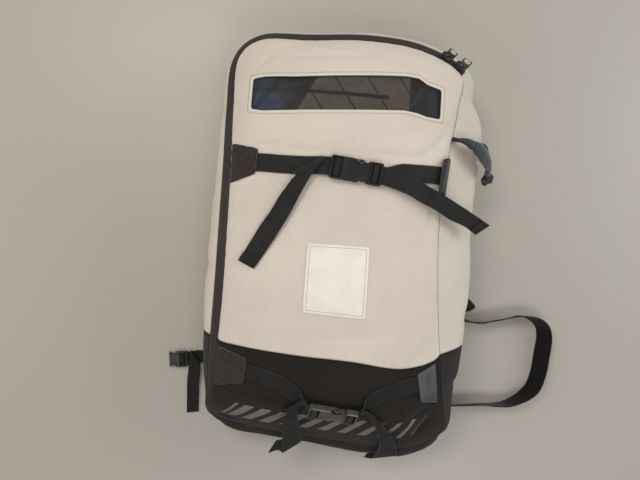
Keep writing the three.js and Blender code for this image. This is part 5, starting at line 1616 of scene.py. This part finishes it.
SLIDER_PAINT = moulded("black slider paint", srgb(22, 21, 20), srgb(13, 13, 12), 0.34)
PULL_METAL = satin_metal()
SLIDERS = [(10.5, 0.65), (10.83, 0.3)]  # place along the outline, height over the zip
SLIDER_REACH, SLIDER_THICK = 8, 4.4
CAP_LUMPS = [
    # along the slider, across it, above its middle, then the three radii
    (-4.2, -3.2, 6.2, 6.4, 6.4, 4.0), (6.0, -4.4, 4.4, 5.4, 5.6, 3.8), (1.6, -5.4, 3.4, 9.0, 4.6, 3.0),
    (0, 3.4, 3.2, 6.5, 5, 3.0),
]
PULL_THICK, PULL_ROUND, PULL_EDGE = 1.5, 2.6, 0.35
PULLS = [
    # each: the corners, two at the slider and two at the free end, then the slot's middle, long and short
    # radius
    ([(155.5, 352, 187.5), (164, 363.5, 196), (178.5, 353.5, 195), (166.5, 340.5, 186.5)],
     (169.8, 356, 194.9), 6.1, 2.7),
    ([(180.5, 336.5, 186), (190.2, 349, 194), (205.5, 341.3, 192.5), (191, 325, 184.5)],
     (195.9, 342.3, 192.4), 6.5, 3.0),
]


def pull_plate(corners, middle, long, short):
    """A flat plate between four corners, with an oval slot: a ring of faces from the slot to the outline."""
    a, b, c, d = [np.array(corner, float) for corner in corners]
    way = unit(c - b)
    up = unit(np.cross((b + c - a - d) / 2, way))
    up = up if up[2] > 0 else -up
    out, centre = np.cross(up, way), np.array(middle, float)
    flat = [((corner - centre) @ way, (corner - centre) @ out) for corner in (a, b, c, d)]
    rim = evenly(rounded(flat, PULL_ROUND), 72)
    turn = np.arctan2(rim[:, 1], rim[:, 0])
    slot = np.stack([long * np.cos(turn), short * np.sin(turn)], -1)
    bm = bmesh.new()
    rings = [[bm.verts.new((centre + x * way + y * out) * MM) for x, y in line] for line in (slot, rim)]
    for k in range(len(rim)):
        after = (k + 1) % len(rim)
        bm.faces.new((rings[0][k], rings[0][after], rings[1][after], rings[1][k]))
    bmesh.ops.solidify(bm, geom=bm.faces, thickness=PULL_THICK * MM)
    bmesh.ops.recalc_face_normals(bm, faces=bm.faces)
    sharp = [e for e in bm.edges if len(e.link_faces) == 2 and e.calc_face_angle() > math.radians(60)]
    bmesh.ops.bevel(bm, geom=sharp, offset=PULL_EDGE * MM, segments=2, profile=0.5, affect="EDGES",
                    material=-1,
                    clamp_overlap=True)
    return bm



def slider_frame(s, lift):
    s = np.array([s])
    t = wall_reach(s, SLIDER_REACH)
    up = Vector(wall_normal(s, t)[0])
    side = outward(s)[0]
    forward = Vector((side[1], -side[0], 0))
    forward = (forward - up * forward.dot(up)).normalized()
    middle = Vector(wall_point(s, t)[0]) + up * (lift + SLIDER_THICK / 2)
    return Matrix.Translation(middle) @ Matrix((forward, up.cross(forward), up)).transposed().to_4x4()


for number, ((s, lift), pull) in enumerate(zip(SLIDERS, PULLS), 1):
    rounded_copy(f"zip_slider_{number}", f"zip_slider_{number}_body", 0.5, SLIDER_PAINT)
    plate = finish_piece(f"zip_pull_{number}_plate", pull_plate(*pull), PULL_METAL,
                         [f"zip_pull_{number}"])
    plate.data.set_sharp_from_angle(angle=SHADE_ANGLE)
    bm = bmesh.new()
    for x, y, z, *radii in CAP_LUMPS:
        add_ball(bm, slider_frame(s, lift), (x, y, z), radii)
    finish_piece(f"zip_slider_{number}_cap", bm, SLIDER_PAINT)

# %% [markdown]
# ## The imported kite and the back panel
# The rolled kite fills the bag. Only a strip of it shows, behind the net: thin coated cloth in soft folds.
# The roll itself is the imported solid's form with long wrinkles pressed into it. The panel that the bag lies
# on is a thin quilted pad, flat underneath.

# %% The roll
FLAT_BELOW, WINDOW_ABOVE = 6, 150  # the roll is flat near the floor, and sinks a little under the window
SINK_MARGIN, SINK = 26, 6
bm = merged_copy("kite_bundle", 0.01)
bmesh.ops.subdivide_edges(bm, edges=bm.edges, cuts=2, use_grid_fill=True)
bmesh.ops.recalc_face_normals(bm, faces=bm.faces)
bm.normal_update()
places, normals = np.array([v.co[:] for v in bm.verts]) / MM, np.array([v.normal[:] for v in bm.verts])
low = places[:, 2] < FLAT_BELOW
wrinkle = 1.2 + 1.2 * np.sin(places[:, 0] / 11 + 3 * wavy(places, 120, 31)) + 1.5 * wavy(places, 40, 32)
under_window = inside(sideways(window_line, SINK_MARGIN), places[:, 0], places[:, 1])
under_window &= places[:, 2] > WINDOW_ABOVE
sink = np.where(low, 0, np.maximum(wrinkle, 0) + SINK * under_window)
for vert, point, normal, depth in zip(bm.verts, places, normals, sink):
    vert.co = (point - normal * depth) * MM


def kite_cloth():
    """Thin coated kite cloth: slate, a blue field, a dark band, pale panels between lines and a navy end."""
    paint = Paint("kite cloth", roughness=0.45, coat=0.15, sheen=0.1, specular=0.45)
    place = paint.place()
    x, y, _ = paint.parts(place)
    x, y = x * 1000, y * 1000
    slate, dark, blue = srgb(46, 44, 43), srgb(15, 15, 16), srgb(20, 66, 104)
    pale, navy = srgb(132, 120, 106), srgb(26, 32, 46)
    lean = x + y * 0.9
    cloth = paint.mix((lean - 100).ramp(-1, 1), blue, slate)
    cloth = paint.mix((lean - 134).ramp(-1, 1), cloth, dark)
    cloth = paint.mix((x - y * 0.5 + 206).ramp(-1, 1) * (1 - (x - 96).ramp(-1, 1)), cloth, pale)
    stripes = abs(((x + y * 0.7 + 4) * (math.pi / 58)).sine())
    lines = 1 - stripes.ramp(0.06, 0.12)
    cloth = paint.mix(lines * 0.85, cloth, dark)
    band = 1 - abs(y - 262).ramp(2.6, 3.8)
    cloth = paint.mix(band * (1 - (x - 60).ramp(-1, 1)), cloth, dark)
    cloth = paint.mix((x - y * 0.4 - 4).ramp(-1.5, 1.5), cloth, navy)
    tone = paint.noise(place, 24, 3).ramp(0.25, 0.8)
    paint.colour(paint.mix(tone * 0.35, cloth, dark))
    paint.height(paint.noise(place, 5, 3) * 0.8 + weave(paint, place, 0.8) * 0.2, 0.5)
    return paint.material


KITE = kite_cloth()
bundle = finish_piece("kite_roll", bm, KITE, ["kite_bundle"])

# %% The strip of kite behind the net
STRIP = (-186, 166, 204, 312)  # left, right, foot and top
STRIP_DEEP = 5.4
STRIP_FOLDS = [
    # x, y, turn in degrees, half length, half width, depth
    (-140, 268, 52, 60, 5, 1.8), (-98, 250, 60, 60, 4, -1.6), (-20, 280, 8, 80, 5, 1.6),
    (-30, 248, 2, 90, 4, 1.8), (40, 262, 66, 40, 5, 1.5), (74, 250, 72, 50, 6, -1.8),
    (112, 262, 60, 50, 6, 2.0), (10, 262, 84, 30, 4, 1.0),
]


def strip_surface(u, v):
    x, y = STRIP[0] + (STRIP[1] - STRIP[0]) * u, STRIP[2] + (STRIP[3] - STRIP[2]) * v
    fu, fv = front_place(x, y)
    p, n = front_point(fu, fv), front_normal(fu, fv)
    deep = STRIP_DEEP + folded(x, y, STRIP_FOLDS) + 0.9 * wavy(p, 22, 33)
    return p - n * np.maximum(deep, 3.9)[:, None]


bm = new_grid(np.linspace(0, 1, 141), np.linspace(0, 1, 45), strip_surface, (352, 108))
strip = thicken(finish_piece("kite_cloth_strip", bm, KITE), 0.4)

# %% The back panel
PANEL_THICK, PANEL_ROUND = 4.0, 1.8
QUILT_Y, QUILT_X = (-190, -60, 70, 200), (-62, 62)


def panel_place(angle, t):
    s = angle / (2 * math.pi) * AROUND
    rim = wall_point(s, np.ones_like(s)) - outward(s) * 0.4
    middle = np.array([-8, 0, 0])
    share = np.clip(np.minimum(t, 1 - t) / 0.46, 0, 1)
    bend = np.clip((t - 0.46) / 0.08, 0, 1)
    x, y = (middle + (rim - middle) * share[:, None]).T[:2]
    inward = PANEL_ROUND * (1 - np.sin(math.pi * bend)) * (share > 0.999)
    side = outward(s)
    x, y = x - side[:, 0] * inward, y - side[:, 1] * inward
    quilt = sum(bell(y - line, 5) for line in QUILT_Y) + sum(bell(x - line, 5) for line in QUILT_X)
    z = PANEL_THICK * (0.5 - 0.5 * np.cos(math.pi * bend))
    soft = fade((1 - share) * 200, 12)
    z = z + np.where(t < 0.5, 1.3, -1.0) * np.clip(quilt, 0, 1) * soft
    return np.stack([x, y, z], -1)


def spacer_mesh():
    paint = Paint("back panel mesh", roughness=0.85, sheen=0.3, specular=0.3)
    place = paint.place()
    x, y, _ = paint.parts(place)
    turns = 2 * math.pi / (3.4 * MM)
    holes = ((x * turns).sine() * (y * turns).sine() * 0.5 + 0.5).ramp(0.55, 0.8)
    tone = paint.noise(place, 40, 3)
    base = paint.mix(tone, srgb(44, 42, 41), srgb(34, 32, 32))
    paint.colour(paint.mix(holes * 0.6, base, srgb(16, 15, 15)))
    paint.height(1 - holes, 0.5)
    return paint.material


panel = finish_piece("back_panel_pad", tube(260, 120, panel_place), spacer_mesh(),
                     ["back_panel"])

# %% [markdown]
# ## Stitching
# A seam from a step away is a dotted line, so each stitch is a short thread of its own: a small stretched
# sphere with few faces, half sunk into the cloth. They are placed at even steps along a line that lies on
# the front.

# %% Rows of stitches
STITCH_LONG, STITCH_GAP, THREAD_RADIUS = 3.1, 0.7, 0.4


def add_stitches(bm, line, long=STITCH_LONG, gap=STITCH_GAP, radius=THREAD_RADIUS, sink=0.1):
    run = np.concatenate([[0], np.cumsum(np.linalg.norm(np.diff(line, axis=0), axis=1))])
    count = max(1, round(run[-1] / (long + gap)))
    pitch = run[-1] / count
    at = lambda place: Vector([np.interp(place, run, column) for column in line.T])
    for k in range(count):
        start, end = at((k + 0.5) * pitch - long / 2), at((k + 0.5) * pitch + long / 2)
        middle = (start + end) / 2 - Vector((0, 0, sink))
        turn = (end - start).to_track_quat("X", "Z").to_matrix().to_4x4()
        shape = Matrix.Diagonal((long / 2 + 0.2, radius, radius, 1))
        bmesh.ops.create_uvsphere(bm, u_segments=7, v_segments=5, radius=1,
                                  matrix=METRES @ Matrix.Translation(middle) @ turn @ shape)
    return count


def thread_paint(name, light, dark):
    paint = Paint(name, roughness=0.6, sheen=0.2)
    paint.colour(paint.mix(paint.noise(paint.place(), 3, 2), dark, light))
    return paint.material


PALE_THREAD = thread_paint("brown thread", srgb(104, 90, 74), srgb(84, 72, 60))
DARK_THREAD = thread_paint("dark thread", srgb(58, 55, 52), srgb(44, 42, 40))
BLUE_THREAD = thread_paint("blue grey thread", srgb(110, 117, 122), srgb(96, 102, 107))


def dense(points, step=2.0, closed=True):
    points = np.asarray(points, float)
    if closed:
        points = np.concatenate([points, points[:1]])
    run = np.concatenate([[0], np.cumsum(np.linalg.norm(np.diff(points, axis=0), axis=1))])
    even = np.linspace(0, run[-1], max(2, round(run[-1] / step) + 1))
    return np.stack([np.interp(even, run, column) for column in points.T], -1)


def inset_corners(corners, inset):
    """Four corners moved inwards."""
    line = np.array(corners, float)
    middle = line.mean(0)
    size = np.abs(line - middle)
    return middle + (line - middle) * (1 - inset / size)


def stitched(name, lines, material, lift=0.0):
    bm = bmesh.new()
    count = sum(add_stitches(bm, on_front(*dense(line, closed=closed).T, high + lift)) for line, closed,
                high in lines)
    piece = finish_piece(name, bm, material)
    print(name, count, "stitches")
    return piece


STITCH_OUT = 5.6
window_rows = [(x + STITCH_OUT * end, low, high) for (x, low, high),
               end in zip(WINDOW, [-1] + [0] * (len(WINDOW) - 2) + [1])]
window_frame = ([(x, low - STITCH_OUT) for x, low, high in window_rows]
                + [(x, high + STITCH_OUT) for x, low, high in reversed(window_rows)])
stitched("window_stitches", [(window_frame, True, 0.1)], PALE_THREAD)
stitched("label_stitches", [(inset_corners(LABEL_CORNERS, 4.6), True, 1.35)], PALE_THREAD)
stitched("tab_stitches", [(inset_corners(TAB_CORNERS, 3.4), True,
                           4.6)],
         BLUE_THREAD)

# %% Stitches across the tails
TAIL_STITCH = 12.5  # mm from a tail's end
bm = bmesh.new()
for rows in strap_rows.values():
    k = len(rows) - 1 - round(TAIL_STITCH / (RIB / 6))
    normal = ribbon_normals(rows)[k]
    outer = WEBBING / 2 if normal[2] > 0 else -1.5 * WEBBING - 0.3
    a, b = rows[k, :3] + normal * outer, rows[k, 3:] + normal * outer
    for row in (0, 1):
        shift = (rows[k + 4 * row, :3] - rows[k, :3])
        add_stitches(bm, np.array([a + (b - a) * 0.06 + shift, a + (b - a) * 0.94 + shift]), long=1.9,
                     gap=0.7, radius=0.3)
finish_piece("tail_stitches", bm, DARK_THREAD)
